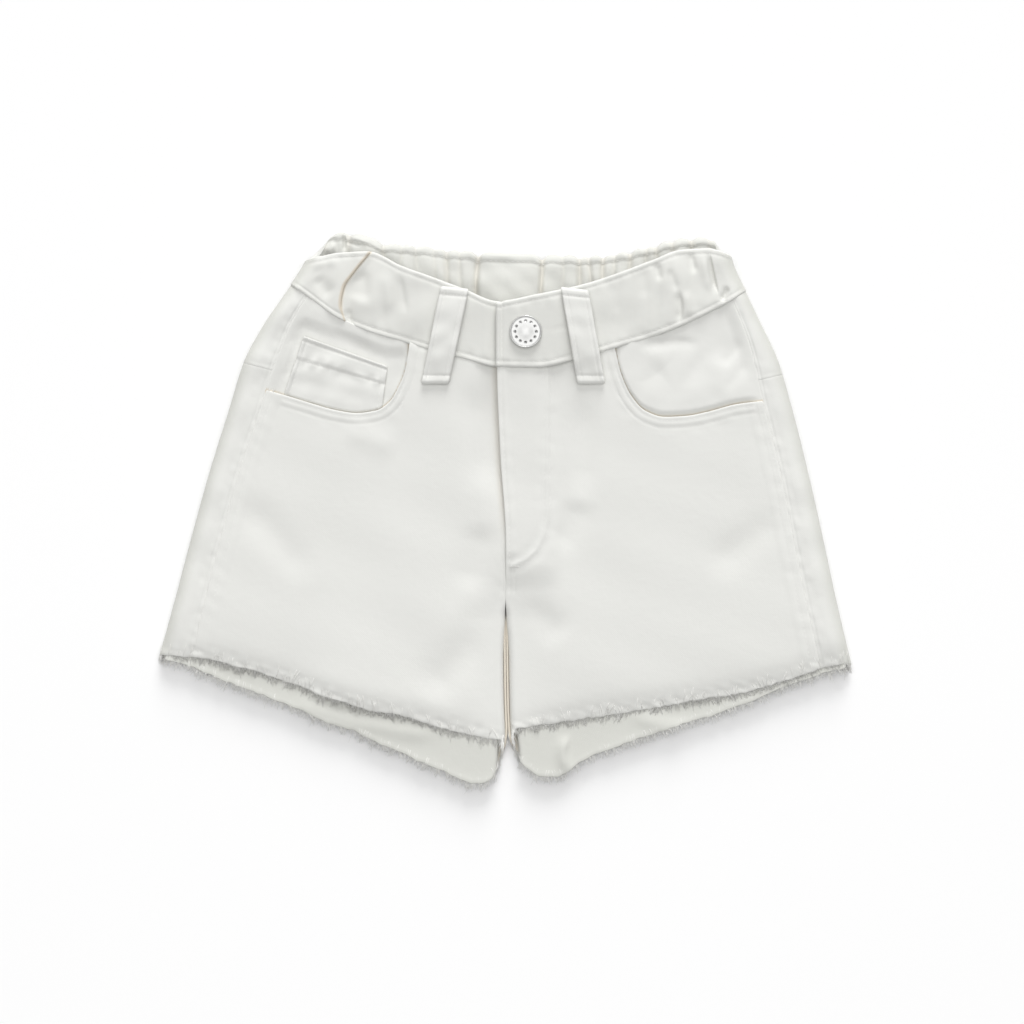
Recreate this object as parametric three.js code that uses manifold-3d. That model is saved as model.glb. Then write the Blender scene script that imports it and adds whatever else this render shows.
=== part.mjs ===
// Twill shorts for a child, laid flat with the front on top. Millimetres: +Z is up from the surface they lie
// on, +Y towards the waist. Left and right are the wearer's: side -1 is the wearer's right, at -X.
import * as THREE from "three";
import Module from "manifold-3d";
import { mergeVertices } from "three/addons/utils/BufferGeometryUtils.js";

// ---- cloth and seams ----
const TWILL = 1.2; // one layer of twill with its seam allowances
const BAND = 2.4; // waistband: two layers of twill and the elastic or stiffener between them
const SEAM_GAP = 0.3; // between two pieces that are sewn edge to edge
const LAYER_GAP = 0.45; // between two pieces that lie on each other
const BAND_PROUD = 0.7; // the waistband stands this far above the panels
const CROTCH = { fullY: -58, blend: 14 }; // the legs part over this length, above this level
const SIDES = { right: -1, left: 1 };

// ---- the garment's outline, level by level ----
const named = (columns, rows) => rows.map((row) => Object.fromEntries(columns.map((c, i) => [c, row[i]])));

// Half the width between the two side folds, how far its middle leans to +X, the radius of the side folds,
// how far in from the fold the front levels out, and how far in each side seam lies.
const OUTLINE = named(["y", "half", "lean", "radius", "shoulder", "seamRight", "seamLeft"], [
  [-84, 185.3, -1.8, 3.7, 9.0, 18.4, 17.4],
  [-46, 175.5, -1.0, 3.9, 9.4, 16.6, 16.8],
  [-13, 167.6, -0.2, 4.2, 9.6, 16.4, 16.4],
  [21, 159.0, 0.7, 4.6, 9.6, 16.4, 15.4],
  [55, 149.4, 1.7, 5.1, 9.6, 16.9, 15.2],
  [81, 141.4, 2.0, 5.7, 9.4, 17.4, 13.4],
  [98, 132.9, 2.6, 6.2, 8.8, 15.2, 11.0],
  [114, 123.6, 4.2, 6.8, 8.4, 13.6, 10.0],
  [131, 113.9, 5.8, 6.8, 8.0, 12.4, 9.4],
  [147, 107.8, 7.6, 6.2, 7.6, 12.0, 9.0],
]);

// The centre front line above the crotch, and half the slot between the legs below it.
const CENTRE = named(["y", "x", "slot"], [
  [-146, 0.8, 4.2],
  [-134, 0.6, 3.0],
  [-125, 0.5, 2.2],
  [-116, 0.2, 1.4],
  [-100, -0.4, 1.5],
  [-80, -0.7, 1.5],
  [-66, -0.8, 1.0],
  [-58, -0.9, 0.4],
  [-46, -1.0, 0.22],
  [-17, -0.7, 0.2],
  [33, -3.7, 0.2],
  [78, -5.3, 0.2],
  [147, -5.3, 0.2],
]);

// The waistband's lower seam and its top edge, by their place along X, on the front and on the back.
const BAND_FRONT = named(["x", "seam", "top"], [
  [-118, 124.0, 127.0], [-104, 113.6, 133.0], [-90, 103.6, 136.4], [-74, 96.4, 137.2], [-56, 91.0, 129.4],
  [-40, 86.2, 123.6], [-24, 82.2, 117.6], [-5, 77.8, 110.8], [16, 77.4, 114.4], [36, 81.6, 118.6],
  [54, 86.8, 124.0], [76, 93.2, 132.2], [92, 99.4, 138.0], [106, 106.2, 138.8], [116, 111.4, 135.6],
  [130, 120.0, 127.0],
]);
const BAND_BACK = named(["x", "seam", "top"], [
  [-118, 122.5, 127.0], [-104, 117.0, 136.0], [-99, 115.0, 141.0], [-94, 113.6, 145.6], [-86, 111.6, 147.2],
  [-76, 109.0, 144.6], [-66, 107.0, 141.2], [-44, 103.0, 139.4], [-24, 100.4, 137.4], [-5, 99.2, 135.4],
  [16, 99.2, 134.8], [38, 100.6, 134.8], [56, 103.0, 135.8], [76, 107.0, 139.8], [92, 110.2, 143.6],
  [105, 112.2, 144.4], [110, 113.6, 143.0], [114, 114.4, 137.8], [120, 116.0, 135.0], [130, 119.6, 131.0],
]);

// The cut edges of the hems, by their place along X. The back hem hangs lower than the front one.
const HEMS = named(["x", "front", "back"], [
  [-187, -74.6, -76.0], [-170, -76.2, -80.6], [-154, -78.8, -87.4], [-127, -86.2, -97.4],
  [-100, -95.4, -109.0],
  [-80, -102.6, -117.0], [-59, -107.0, -126.4], [-40, -112.0, -134.6], [-25, -116.4, -141.2],
  [-15, -118.6, -143.2],
  [-8, -119.8, -141.0], [-4, -120.2, -134.0], [4, -114.4, -130.4], [9, -113.4, -134.4],
  [17, -112.0, -140.2],
  [26, -110.8, -139.8], [38, -109.0, -132.6], [64, -105.6, -121.8], [91, -101.0, -112.8],
  [118, -96.6, -104.0],
  [144, -89.8, -93.4], [168, -82.2, -84.6], [187, -79.4, -80.4],
]);

// The seams of the back yokes, by their distance from the middle.
const YOKE = named(["from", "seam"], [
  [0, 50], [16, 52], [40, 55.6], [60, 59.4], [90, 66], [120, 73], [150, 80], [187, 86],
]);
const YOKE_TILT = { start: 60, full: 140, right: 1.5, left: -6 }; // added towards each side

// The curved mouths of the two front pockets.
const SCOOP = {
  right: named(["x", "y"], [
    [-130, 65.2], [-117, 61.4], [-104, 57.4], [-91, 53.8], [-80, 52.2],
    [-69.4, 53.6], [-62.2, 58.4], [-57.4, 66.6], [-54, 75.4], [-51.6, 90.0],
  ]),
  left: named(["x", "y"], [
    [56.4, 88.0], [60.2, 72.6], [65.6, 61.2], [73, 53.4],
    [83, 50.2], [93.4, 50.6], [105.6, 52.8], [120.8, 56.8], [138, 59.0],
  ]),
};

// ---- how the cloth rises ----
const LOFT = 3.0; // the front lies this much above its side folds
const HEM_SINK = { depth: 2.6, reach: 17 }; // each leg's front slopes down to its hem
const EDGE_RISE = 26; // distance over which the front rises from a fold

const FOLD_END = 0.4; // share of a fold's length over which each end dies out

// Long soft folds of the front: a ridge where height is above 0, a trough where it is below.
const FOLDS = named(["x1", "y1", "x2", "y2", "width", "height"], [
  [-19, 72, -12, 8, 8, -1.4], // beside the fly
  [-13, -4, -21, -44, 9, -1.3],
  [40, 66, 39, 4, 8, -1.4], // along the edge of the fly facing
  [39, 4, 26, -18, 8, -1.3],
  [-140, 6, -106, -32, 9, -1.4], // from the side of the right leg
  [146, -2, 106, -30, 10, -1.4], // from the side of the left leg
  [-5, -64, -46, -100, 12, -2.2], // below the crotch
  [4, -50, 32, -68, 9, -1.8],
  [-88, 46, -56, 34, 7, 1.3], // below the right pocket
  [-118, -86, -30, -112, 14, 1.2], // behind the right front hem
]);

// Where the elastic gathers the band: place along X, depth and half width of each pleat of its inner face.
const PLEATS = named(["x", "depth", "width"], [
  [-96, 1.0, 4.0], [-84, 1.3, 3.6], [-66, 1.2, 3.4], [-57, 0.8, 3.2], [-49, 0.9, 3.2], [-39, 0.8, 3.0],
  [-32, 1.4, 3.0], [-25, 0.9, 2.8], [-16, 1.9, 2.8], [18, 1.9, 2.8], [29, 0.9, 3.2], [38, 1.5, 3.0],
  [44, 1.3, 2.8], [51, 1.6, 3.0], [57, 1.0, 2.8], [65, 1.5, 3.2], [73, 1.1, 3.0], [79, 1.4, 3.0],
  [88, 1.2, 3.4], [98, 1.4, 3.6], [108, 1.0, 3.6],
]);

const FRONT_PLEAT = 0.45; // the front's share of those depths
// They are shallower by the seam, and die out round the side folds.
const PLEAT_FOOT = { share: 0.75, fullUp: 0.6, from: 0.2 };

// ---- small pieces ----
// The wearer's left front laps over the right one: the lap is flat this far from the centre, and dies out.
const FLY = { bottomY: -24, underlap: 6.5, flat: 21, reach: 33, taper: 18, lead: 2 };
// The band's right half runs on below its left one, and stays below its top edge there.
const LAP = { endX: 22, liftX: 25, liftEndX: 46, topFrom: -6, topTo: 2, topDrop: 1.6 };
// Where the elastic band meets the plain one on each side: X by the share of the band's height.
const JOINT = named(["up", "right", "left"], [
  [0, -89.5, 112.2], [0.2, -92.1, 111.2], [0.49, -90.5, 109.4], [0.77, -84.1, 107.7], [1, -76.7, 106.6],
]);
const JOINT_LAP = 3.5; // the elastic band laps over the plain one at the wearer's right
const JOINT_RAMP = { start: 22, full: 7 }; // it climbs onto it between these distances from its end
const PLAIN_ZONE = { inner: 40, outer: 75 }; // no pleats nearer to the button than this
// The front loops step down from the band between these distances below its seam; the back ones lie flat.
const LOOP = { width: 13.4, thick: 1.8, tilt: 0.7, stepStart: 9, stepEnd: 0.5 };
const LOOP_BACK = { length: 38, belowSeam: 8 };
const LOOP_HUMP = { far: 26, margin: 2, start: 30, full: 10 }; // how the back lies over its loops
const FRONT_LOOPS = named(["name", "topX", "topY", "footX", "footY"], [
  ["belt_loop_front_right", -27.8, 118.2, -38.2, 68.4],
  ["belt_loop_front_left", 35.4, 117.6, 44.2, 68.4],
]);
const BACK_LOOPS = named(["name", "x"], [
  ["belt_loop_back_right", -66],
  ["belt_loop_back", 6],
  ["belt_loop_back_left", 78],
]);
const COIN = { // the coin pocket's corners, from the top towards the side seam round to its foot
  top: [[-107.2, 92.6], [-63.8, 77.0]],
  foot: [[-119.6, 57.0], [-67.6, 48.8]],
};
// The pocket facings reach in under the front, and come up beyond the pocket's mouth and the coin pocket.
const FACING = { under: 9, footY: 62, ramp: [5, 20], coinClear: [4, 12], top: 0.4 };
const FACING_SPAN = { right: [-140, -58], left: [62, 140] };
// The pieces behind the fly, by the ends of their top and foot edges.
const SHIELD = { top: [[-14, 74.4], [20, 73.6]], foot: [[-10, -16], [20, -12]] };
const TAPE = { top: [[3.4, 74.0], [15, 74.0]], foot: [[8.4, -10], [15, -8]], thick: 0.9, below: 0.2 };
const BUTTON = { x: 9.6, y: 95.4, shank: 2.1, stem: 3.15, sides: 24 };
// The button's face, by its distance from the middle and its height over the stem.
const BUTTON_FACE = named(["from", "up"], [
  [6.8, 0], [8.5, 0.7], [8.5, 1.3], [7.65, 2.0], [6.46, 1.7], [5.1, 2.1], [2.89, 3.3], [0, 3.6],
]);
const BUTTONHOLE = { eyelet: 2.7, slot: 1.0, length: 15, deep: 30, sides: 16 };
// The cut edges' strip of loose cloth and the short threads that stand out from it.
const FRAY = { gap: 0.5, strip: 1.1, thick: 0.8, lookBack: 0.97, leastSlant: 0.45 };
const THREAD = { root: 0.42, tip: 0.2, sides: 3, pitch: 6.4, shortest: 2.17, longest: 4.03 };
const THREAD_STRAY = { along: 0.5, lean: 0.5 };
const FRAY_SEEDS = { right: 10, left: 500, back: 1000 };

// ---- curves and blends ----
const clamp = (v, low, high) => Math.min(high, Math.max(low, v));
const mix = (a, b, t) => a + (b - a) * t;
const ease = (from, to, v) => {
  const t = clamp((v - from) / (to - from), 0, 1);
  return t * t * (3 - 2 * t);
};
const wander = (n) => { // a repeatable number from 0 to 1 for each n
  const v = Math.sin(n * 12.9898 + 4.1) * 43758.5453;
  return v - Math.floor(v);
};

// A smooth curve through a table: the column `value` at the place `at` of the column `key`.
function read(rows, key, value, at) {
  const last = rows.length - 1;
  const secant = (i) => (rows[i + 1][value] - rows[i][value]) / (rows[i + 1][key] - rows[i][key]);
  const slope = (i) => {
    if (i === 0) return secant(0);
    if (i === last) return secant(last - 1);
    const before = secant(i - 1);
    const after = secant(i);
    if (before * after <= 0) return 0;
    return 2 * before * after / (before + after);
  };
  let i = 0;
  while (i < last - 1 && at > rows[i + 1][key]) i++;
  const step = rows[i + 1][key] - rows[i][key];
  const t = (at - rows[i][key]) / step;
  if (t <= 0) return rows[i][value] + slope(i) * t * step;
  if (t >= 1) return rows[i + 1][value] + slope(i + 1) * (t - 1) * step;
  const a = rows[i][value];
  const b = rows[i + 1][value];
  return a + t * t * (3 - 2 * t) * (b - a) + t * (1 - t) * step * ((1 - t) * slope(i) - t * slope(i + 1));
}

// ---- the frame that every piece of cloth is laid out on ----
const foldX = (side, y) => read(OUTLINE, "y", "lean", y) + side * read(OUTLINE, "y", "half", y);
const radius = (y) => read(OUTLINE, "y", "radius", y);
const shoulder = (y) => read(OUTLINE, "y", "shoulder", y);
const seamIn = (side, y) => read(OUTLINE, "y", side < 0 ? "seamRight" : "seamLeft", y);
const seamX = (side, y) => foldX(side, y) - side * seamIn(side, y);
const innerX = (side, y) => read(CENTRE, "y", "x", y) + side * read(CENTRE, "y", "slot", y);
// How far the cloth has turned down at its inner edge: not at all on the body, a quarter turn on the legs.
const turned = (y) => ease(CROTCH.fullY + CROTCH.blend, CROTCH.fullY, y);
const turnAngle = (y) => turned(y) * (Math.PI / 2 - SEAM_GAP / 2 / radius(y));

const frontWaist = (x) => read(BAND_FRONT, "x", "seam", x);
const frontTop = (x) => read(BAND_FRONT, "x", "top", x);
const backWaist = (x) => read(BAND_BACK, "x", "seam", x);
const backTop = (x) => read(BAND_BACK, "x", "top", x);
const frontHem = (x) => read(HEMS, "x", "front", x);
const backHem = (x) => read(HEMS, "x", "back", x);
function yokeSeam(x) {
  const tilt = x < 0 ? YOKE_TILT.right : YOKE_TILT.left;
  const share = ease(YOKE_TILT.start, YOKE_TILT.full, Math.abs(x));
  return read(YOKE, "from", "seam", Math.abs(x)) + tilt * share;
}

// Height of a long fold of the front at a place, fading to nothing at its ends.
function foldHeight(fold, x, y) {
  const [dx, dy] = [fold.x2 - fold.x1, fold.y2 - fold.y1];
  const length = Math.hypot(dx, dy);
  const along = clamp(((x - fold.x1) * dx + (y - fold.y1) * dy) / length, 0, length);
  const off = Math.hypot(x - fold.x1 - dx * along / length, y - fold.y1 - dy * along / length);
  const fade = ease(0, FOLD_END * length, along) * ease(length, (1 - FOLD_END) * length, along);
  return fold.height * fade * Math.exp(-((off / fold.width) ** 2));
}

// The outer face of the front, above the surface it lies on.
function frontZ(x, y) {
  const side = x < read(CENTRE, "y", "x", y) ? -1 : 1;
  const r = radius(y);
  const fromFold = side * (foldX(side, y) - x) - shoulder(y);
  const fromInner = side * (x - innerX(side, y)) - r * turned(y);
  const rise = ease(0, EDGE_RISE, fromFold) * mix(1, ease(0, EDGE_RISE, fromInner), turned(y));
  const sink = HEM_SINK.depth * Math.exp(-(((y - frontHem(x)) / HEM_SINK.reach) ** 2));
  const folds = FOLDS.reduce((sum, fold) => sum + foldHeight(fold, x, y), 0);
  return 2 * r + rise * (LOFT - sink + folds);
}

// The outer face of the back, which lies on the surface, but is held up by the belt loops below its band.
function backZ(x, y) {
  const near = Math.min(...BACK_LOOPS.map((loop) => Math.abs(x - loop.x)));
  const across = ease(LOOP_HUMP.far, LOOP.width / 2 + LOOP_HUMP.margin, near);
  const over = across * ease(LOOP_HUMP.start, LOOP_HUMP.full, backWaist(x) - y);
  return (LOOP.thick + LAYER_GAP) * over;
}

// A place on a piece of cloth: x, y, z of its outer face, the way out (outX, outZ) and its share of back.
function onFront(x, y) {
  return { x, y, z: frontZ(x, y), outX: 0, outZ: 1, back: 0 };
}

// A quarter turn down from the front's inner edge, or up from the back's.
function innerTurn(side, y, angle, back) {
  const r = radius(y);
  const centre = innerX(side, y) + side * r * Math.sin(turnAngle(y));
  const up = back ? -1 : 1;
  const flat = back ? backZ(centre, y) : frontZ(centre, y);
  return {
    x: centre - side * r * Math.sin(angle),
    y,
    z: flat - up * r * (1 - Math.cos(angle)),
    outX: -side * Math.sin(angle),
    outZ: up * Math.cos(angle),
    back: back ? 1 - 0.5 * Math.sin(angle) : 0.5 * (1 - Math.cos(angle)),
  };
}

// The front from a side seam inwards, at one level. u runs from 0 to 1 up to the last stretch, which would
// make a quarter turn, and from 1 to 2 along that stretch. The cloth is flat up to where it turns.
function frontWay(side, y, u, startX, extra = 0) {
  const r = radius(y);
  const turn = turnAngle(y);
  const flatEnd = innerX(side, y) + side * r * Math.sin(turn) - side * extra;
  const run = side * (startX - flatEnd);
  const last = r * Math.PI / 2;
  const before = run + r * turn - last;
  const walked = u <= 1 ? u * before : before + (u - 1) * last;
  if (walked <= run || turn === 0) return onFront(startX - side * walked, y);
  return innerTurn(side, y, (walked - run) / r, false);
}

// The half turn of a side fold. angle goes from a quarter turn up (front) to a quarter turn down (back).
// Its upper half is drawn out inwards, as the front slopes down to the fold.
function sideTurn(side, y, angle) {
  const r = radius(y);
  const reach = angle > 0 ? shoulder(y) : r;
  const [outX, outZ] = [r * Math.cos(angle), reach * Math.sin(angle)];
  const length = Math.hypot(outX, outZ);
  return {
    x: foldX(side, y) - side * reach * (1 - Math.cos(angle)),
    y,
    z: r + r * Math.sin(angle) + backZ(foldX(side, y), y) * (0.5 - 0.5 * Math.sin(angle)),
    outX: side * outX / length,
    outZ: outZ / length,
    back: 0.5 - angle / Math.PI,
  };
}

// The back, at one level, in four stretches: u from 0 to 1 on top from the side seam to the fold, to 2 round
// the fold, to 3 in underneath, and to 4 along the last stretch, which turns up at the inner leg.
function backWay(side, y, u) {
  const r = radius(y);
  const turn = turnAngle(y);
  const start = seamX(side, y) + side * SEAM_GAP / 2;
  const level = foldX(side, y) - side * shoulder(y);
  const fold = foldX(side, y) - side * r;
  const flatEnd = innerX(side, y) + side * r * Math.sin(turn);
  const under = side * (fold - flatEnd);
  const last = r * Math.PI / 2;
  if (u < 1) return onFront(mix(start, level, u), y);
  if (u < 2) return sideTurn(side, y, Math.PI / 2 - (u - 1) * Math.PI);
  const before = under + r * turn - last;
  const walked = u <= 3 ? (u - 2) * before : before + (u - 3) * last;
  if (walked <= under || turn === 0) {
    const x = fold - side * walked;
    return { x, y, z: backZ(x, y), outX: 0, outZ: -1, back: 1 };
  }
  return innerTurn(side, y, (walked - under) / r, true);
}

// Places along a way: so many columns in each of its stretches.
function stretches(...counts) {
  return [0, ...counts.flatMap((count, k) => Array.from({ length: count }, (_, i) => k + (i + 1) / count))];
}

// Finds the level at which a way meets the line that levelAt gives for the place reached.
const SETTLE = { passes: 40, step: 0.7 };
const FIRST_Y = { band: 120, waist: 108, facing: 80, frontTop: 75, yoke: 70, mouth: 60, hem: -100 };
function settle(wayAt, levelAt, firstY) {
  let y = firstY;
  let place = wayAt(y);
  for (let pass = 0; pass < SETTLE.passes; pass++) {
    y = mix(y, levelAt(place), SETTLE.step);
    place = wayAt(y);
  }
  return place;
}

// ---- solids ----
function solid(name, color, geometry, finish = {}) {
  const material = new THREE.MeshStandardMaterial({ color, roughness: 0.9, metalness: 0, ...finish });
  geometry.computeVertexNormals();
  const mesh = new THREE.Mesh(geometry, material);
  mesh.name = name;
  return mesh;
}

// A closed wall of cloth. placeAt gives the places of its outer face, and the inner one lies `thick` behind.
function wall(columns, rows, placeAt, thick, rise = () => 0) {
  const us = Array.isArray(columns) ? columns : Array.from({ length: columns + 1 }, (_, i) => i / columns);
  const wide = us.length;
  const tall = rows + 1;
  const points = [];
  for (const depth of [0, thick]) {
    for (let j = 0; j < tall; j++) {
      for (let i = 0; i < wide; i++) {
        const place = placeAt(us[i], j / rows, i);
        const out = rise(place, us[i], j / rows) - depth;
        points.push(place.x + place.outX * out, place.y, place.z + place.outZ * out);
      }
    }
  }
  const at = (layer, i, j) => layer * wide * tall + j * wide + i;
  const faces = [];
  const quad = (a, b, c, d) => faces.push(a, b, c, a, c, d);
  for (let j = 0; j < rows; j++) {
    for (let i = 0; i < wide - 1; i++) {
      quad(at(0, i, j), at(0, i, j + 1), at(0, i + 1, j + 1), at(0, i + 1, j));
      quad(at(1, i, j), at(1, i + 1, j), at(1, i + 1, j + 1), at(1, i, j + 1));
    }
  }
  for (let i = 0; i < wide - 1; i++) {
    quad(at(0, i, 0), at(0, i + 1, 0), at(1, i + 1, 0), at(1, i, 0));
    quad(at(0, i, rows), at(1, i, rows), at(1, i + 1, rows), at(0, i + 1, rows));
  }
  for (let j = 0; j < rows; j++) {
    quad(at(0, 0, j), at(1, 0, j), at(1, 0, j + 1), at(0, 0, j + 1));
    quad(at(0, wide - 1, j), at(0, wide - 1, j + 1), at(1, wide - 1, j + 1), at(1, wide - 1, j));
  }
  return outward(points, faces);
}

// A geometry from points and faces, turned so that its faces point out.
function outward(points, faces) {
  const p = (k) => new THREE.Vector3(points[3 * k], points[3 * k + 1], points[3 * k + 2]);
  let volume = 0;
  for (let f = 0; f < faces.length; f += 3) {
    volume += p(faces[f]).dot(p(faces[f + 1]).cross(p(faces[f + 2])));
  }
  const turnedRound = faces.map((_, k) => faces[k - (k % 3) + [0, 2, 1][k % 3]]);
  const geometry = new THREE.BufferGeometry();
  geometry.setAttribute("position", new THREE.Float32BufferAttribute(points, 3));
  geometry.setIndex(volume < 0 ? turnedRound : faces);
  return geometry;
}

const wasm = await Module();
wasm.setup();

function toManifold(geometry) {
  const bare = geometry.clone();
  for (const name of ["normal", "uv"]) bare.deleteAttribute(name);
  const merged = mergeVertices(bare, 1e-4);
  const mesh = new wasm.Mesh({
    numProp: 3,
    vertProperties: merged.attributes.position.array,
    triVerts: new Uint32Array(merged.index.array),
  });
  return new wasm.Manifold(mesh);
}

function toGeometry(manifold) {
  const mesh = manifold.getMesh();
  const geometry = new THREE.BufferGeometry();
  geometry.setAttribute("position", new THREE.BufferAttribute(new Float32Array(mesh.vertProperties), 3));
  geometry.setIndex(new THREE.BufferAttribute(new Uint32Array(mesh.triVerts), 1));
  return geometry;
}

// How many cells each wall is divided into. A list counts the cells of each stretch.
const CELLS = {
  frontAcross: [26, 3],
  frontDown: 13,
  backAcross: [3, 7, 18, 3],
  backDown: 9,
  yokeDown: 4,
  facing: [11, 8],
  elastic: [8, 8, 110, 8, 5],
  bandDown: 3,
  bandRight: 24,
  bandLeft: 26,
  frontLoop: [2, 12],
  backLoop: [1, 4],
  coin: [6, 5],
  shield: [3, 12],
  tape: [1, 12],
};

// ---- panels ----
const sideName = (side) => (side < 0 ? "right" : "left");

// How far the left front is lifted where it laps over the right one at the fly.
function flyLift(x, y) {
  const centre = read(CENTRE, "y", "x", y);
  const zone = ease(FLY.bottomY - FLY.taper, FLY.bottomY - FLY.lead, y);
  return (TWILL + LAYER_GAP) * zone * ease(FLY.reach, FLY.flat, x - centre);
}

const flyUnderlap = (y) => FLY.underlap * ease(FLY.bottomY, FLY.bottomY + FLY.taper, y);

// The top edge of a front panel: along the pocket's mouth, then along the waistband.
function frontTopEdge(side, x) {
  const scoop = SCOOP[sideName(side)];
  const mouthEnd = side < 0 ? scoop[scoop.length - 1].x : scoop[0].x;
  const inMouth = side * x > side * mouthEnd;
  const waist = frontWaist(x) - SEAM_GAP / 2;
  return inMouth ? Math.min(waist, read(scoop, "x", "y", x)) : waist;
}

const FINE_STEPS = 600; // for measuring along the top edge

// Columns of a front panel: spaced evenly along its top edge up to the last stretch, then closer together.
function frontColumns(side, count, lastCount) {
  const scoop = SCOOP[sideName(side)];
  const startX = (y) => seamX(side, y) - side * SEAM_GAP / 2;
  const wayAt = (y, u) => frontWay(side, y, u, startX(y), side < 0 ? flyUnderlap(y) : 0);
  const topAt = (u) => settle((y) => wayAt(y, u), (place) => frontTopEdge(side, place.x), FIRST_Y.frontTop);
  const mouth = settle((y) => wayAt(y, 0), (place) => read(scoop, "x", "y", place.x), FIRST_Y.mouth);
  const stop = topAt(1);
  const fine = Array.from({ length: FINE_STEPS + 1 }, (_, i) => {
    const x = mix(mouth.x, stop.x, i / FINE_STEPS);
    return { x, y: frontTopEdge(side, x), length: 0 };
  });
  for (let i = 1; i < fine.length; i++) {
    fine[i].length = fine[i - 1].length + Math.hypot(fine[i].x - fine[i - 1].x, fine[i].y - fine[i - 1].y);
  }
  const whole = fine[fine.length - 1].length;
  const even = Array.from({ length: count + 1 }, (_, i) => {
    const spot = fine.find((f) => f.length >= whole * i / count - 1e-9) ?? fine[fine.length - 1];
    const [from, to] = [wayAt(spot.y, 0).x, wayAt(spot.y, 1).x];
    return { u: clamp((from - spot.x) / (from - to), 0, 1), topY: spot.y };
  });
  const last = Array.from({ length: lastCount }, (_, i) => {
    const u = 1 + (i + 1) / lastCount;
    return { u, topY: topAt(u).y };
  });
  return { wayAt, columns: [...even, ...last] };
}

function frontPanel(side) {
  const { wayAt, columns } = frontColumns(side, ...CELLS.frontAcross);
  const hemAt = (place) => mix(frontHem(place.x), backHem(place.x), place.back);
  const hems = columns.map((c) => settle((y) => wayAt(y, c.u), hemAt, FIRST_Y.hem).y);
  const placeAt = (u, v, i) => wayAt(mix(columns[i].topY, hems[i], v), columns[i].u);
  const lift = (place) => (side > 0 ? flyLift(place.x, place.y) : 0);
  return { columns: columns.map((c) => c.u), placeAt, lift };
}

// A piece of the back between two lines across, each given by its levels on the front and on the back.
function backPiece(side, upper, lower, gapAbove, gapBelow) {
  const lineAt = (line, gap) => (place) => mix(line.front(place.x), line.back(place.x), place.back) + gap;
  const edges = new Map();
  const edge = (u, line, gap, firstY) => {
    const key = `${u}:${firstY}`;
    if (!edges.has(key)) edges.set(key, settle((y) => backWay(side, y, u), lineAt(line, gap), firstY).y);
    return edges.get(key);
  };
  return (u, v) => backWay(
    side,
    mix(edge(u, upper, -gapAbove, upper.firstY), edge(u, lower, gapBelow, lower.firstY), v),
    u,
  );
}

const LINES = {
  waist: { front: (x) => frontWaist(x), back: (x) => backWaist(x), firstY: FIRST_Y.waist },
  yoke: { front: yokeSeam, back: yokeSeam, firstY: FIRST_Y.yoke },
  hem: { front: frontHem, back: backHem, firstY: FIRST_Y.hem },
};

// ---- waistband ----
const bandLevel = (place, v) => {
  const front = mix(frontWaist(place.x) + SEAM_GAP / 2, frontTop(place.x), v);
  const back = mix(backWaist(place.x) + SEAM_GAP / 2, backTop(place.x), v);
  return mix(front, back, place.back);
};

// The elastic band in five stretches: on top from the joint at the wearer's right, round the right fold,
// underneath, round the left fold, and on top to the left joint.
function elasticWay(y, v, u) {
  const r = radius(y);
  const startR = read(JOINT, "up", "right", v) + JOINT_LAP;
  const endL = read(JOINT, "up", "left", v) + SEAM_GAP / 2;
  const foldR = foldX(-1, y) + r;
  const foldL = foldX(1, y) - r;
  if (u < 1) return onFront(mix(startR, foldX(-1, y) + shoulder(y), u), y);
  if (u < 2) return sideTurn(-1, y, Math.PI / 2 - (u - 1) * Math.PI);
  if (u < 3) {
    const x = mix(foldR, foldL, u - 2);
    return { x, y, z: backZ(x, y), outX: 0, outZ: -1, back: 1 };
  }
  if (u < 4) return sideTurn(1, y, -Math.PI / 2 + (u - 3) * Math.PI);
  return onFront(mix(foldX(1, y) - shoulder(y), endL, u - 4), y);
}

// The elastic draws the cloth into pleats: the wall bows up from the surface between them.
function pleats(x) {
  return PLEATS.reduce((sum, p) => sum + p.depth * Math.exp(-(((x - p.x) / p.width) ** 2)), 0);
}

// On the front they are shallower, and there are none near the button.
function frontPleats(x) {
  const fromButton = Math.abs(x - BUTTON.x);
  return FRONT_PLEAT * pleats(x) * ease(PLAIN_ZONE.inner, PLAIN_ZONE.outer, fromButton);
}

function elasticRise(place, u, v) {
  const joint = read(JOINT, "up", "right", v) + JOINT_LAP;
  const onLap = place.back === 0 && place.x < 0;
  const lapped = onLap ? (BAND + LAYER_GAP) * ease(JOINT_RAMP.start, JOINT_RAMP.full, joint - place.x) : 0;
  const onFrontSide = BAND_PROUD - frontPleats(place.x);
  const onBackSide = -pleats(place.x) * mix(PLEAT_FOOT.share, 1, ease(0, PLEAT_FOOT.fullUp, v));
  return lapped + mix(onFrontSide, onBackSide, ease(PLEAT_FOOT.from, 1, place.back));
}

const bandRise = (side) => (place) => {
  const overlap = side > 0 ? (BAND + LAYER_GAP) * ease(LAP.liftEndX, LAP.liftX, place.x) : 0;
  return BAND_PROUD + overlap - frontPleats(place.x);
};

// Half of the plain front band.
function plainBand(side) {
  const [start, end] = side < 0
    ? [(v) => read(JOINT, "up", "right", v) + SEAM_GAP, LAP.endX]
    : [(v) => read(JOINT, "up", "left", v) - SEAM_GAP / 2, CENTRE[CENTRE.length - 1].x];
  return (u, v) => {
    const x = mix(start(v), end, u);
    const lapTop = side < 0 ? LAP.topDrop * ease(LAP.topFrom, LAP.topTo, x) : 0;
    const y = mix(frontWaist(x) + SEAM_GAP / 2, frontTop(x) - lapTop, v);
    return onFront(x, y);
  };
}

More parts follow.
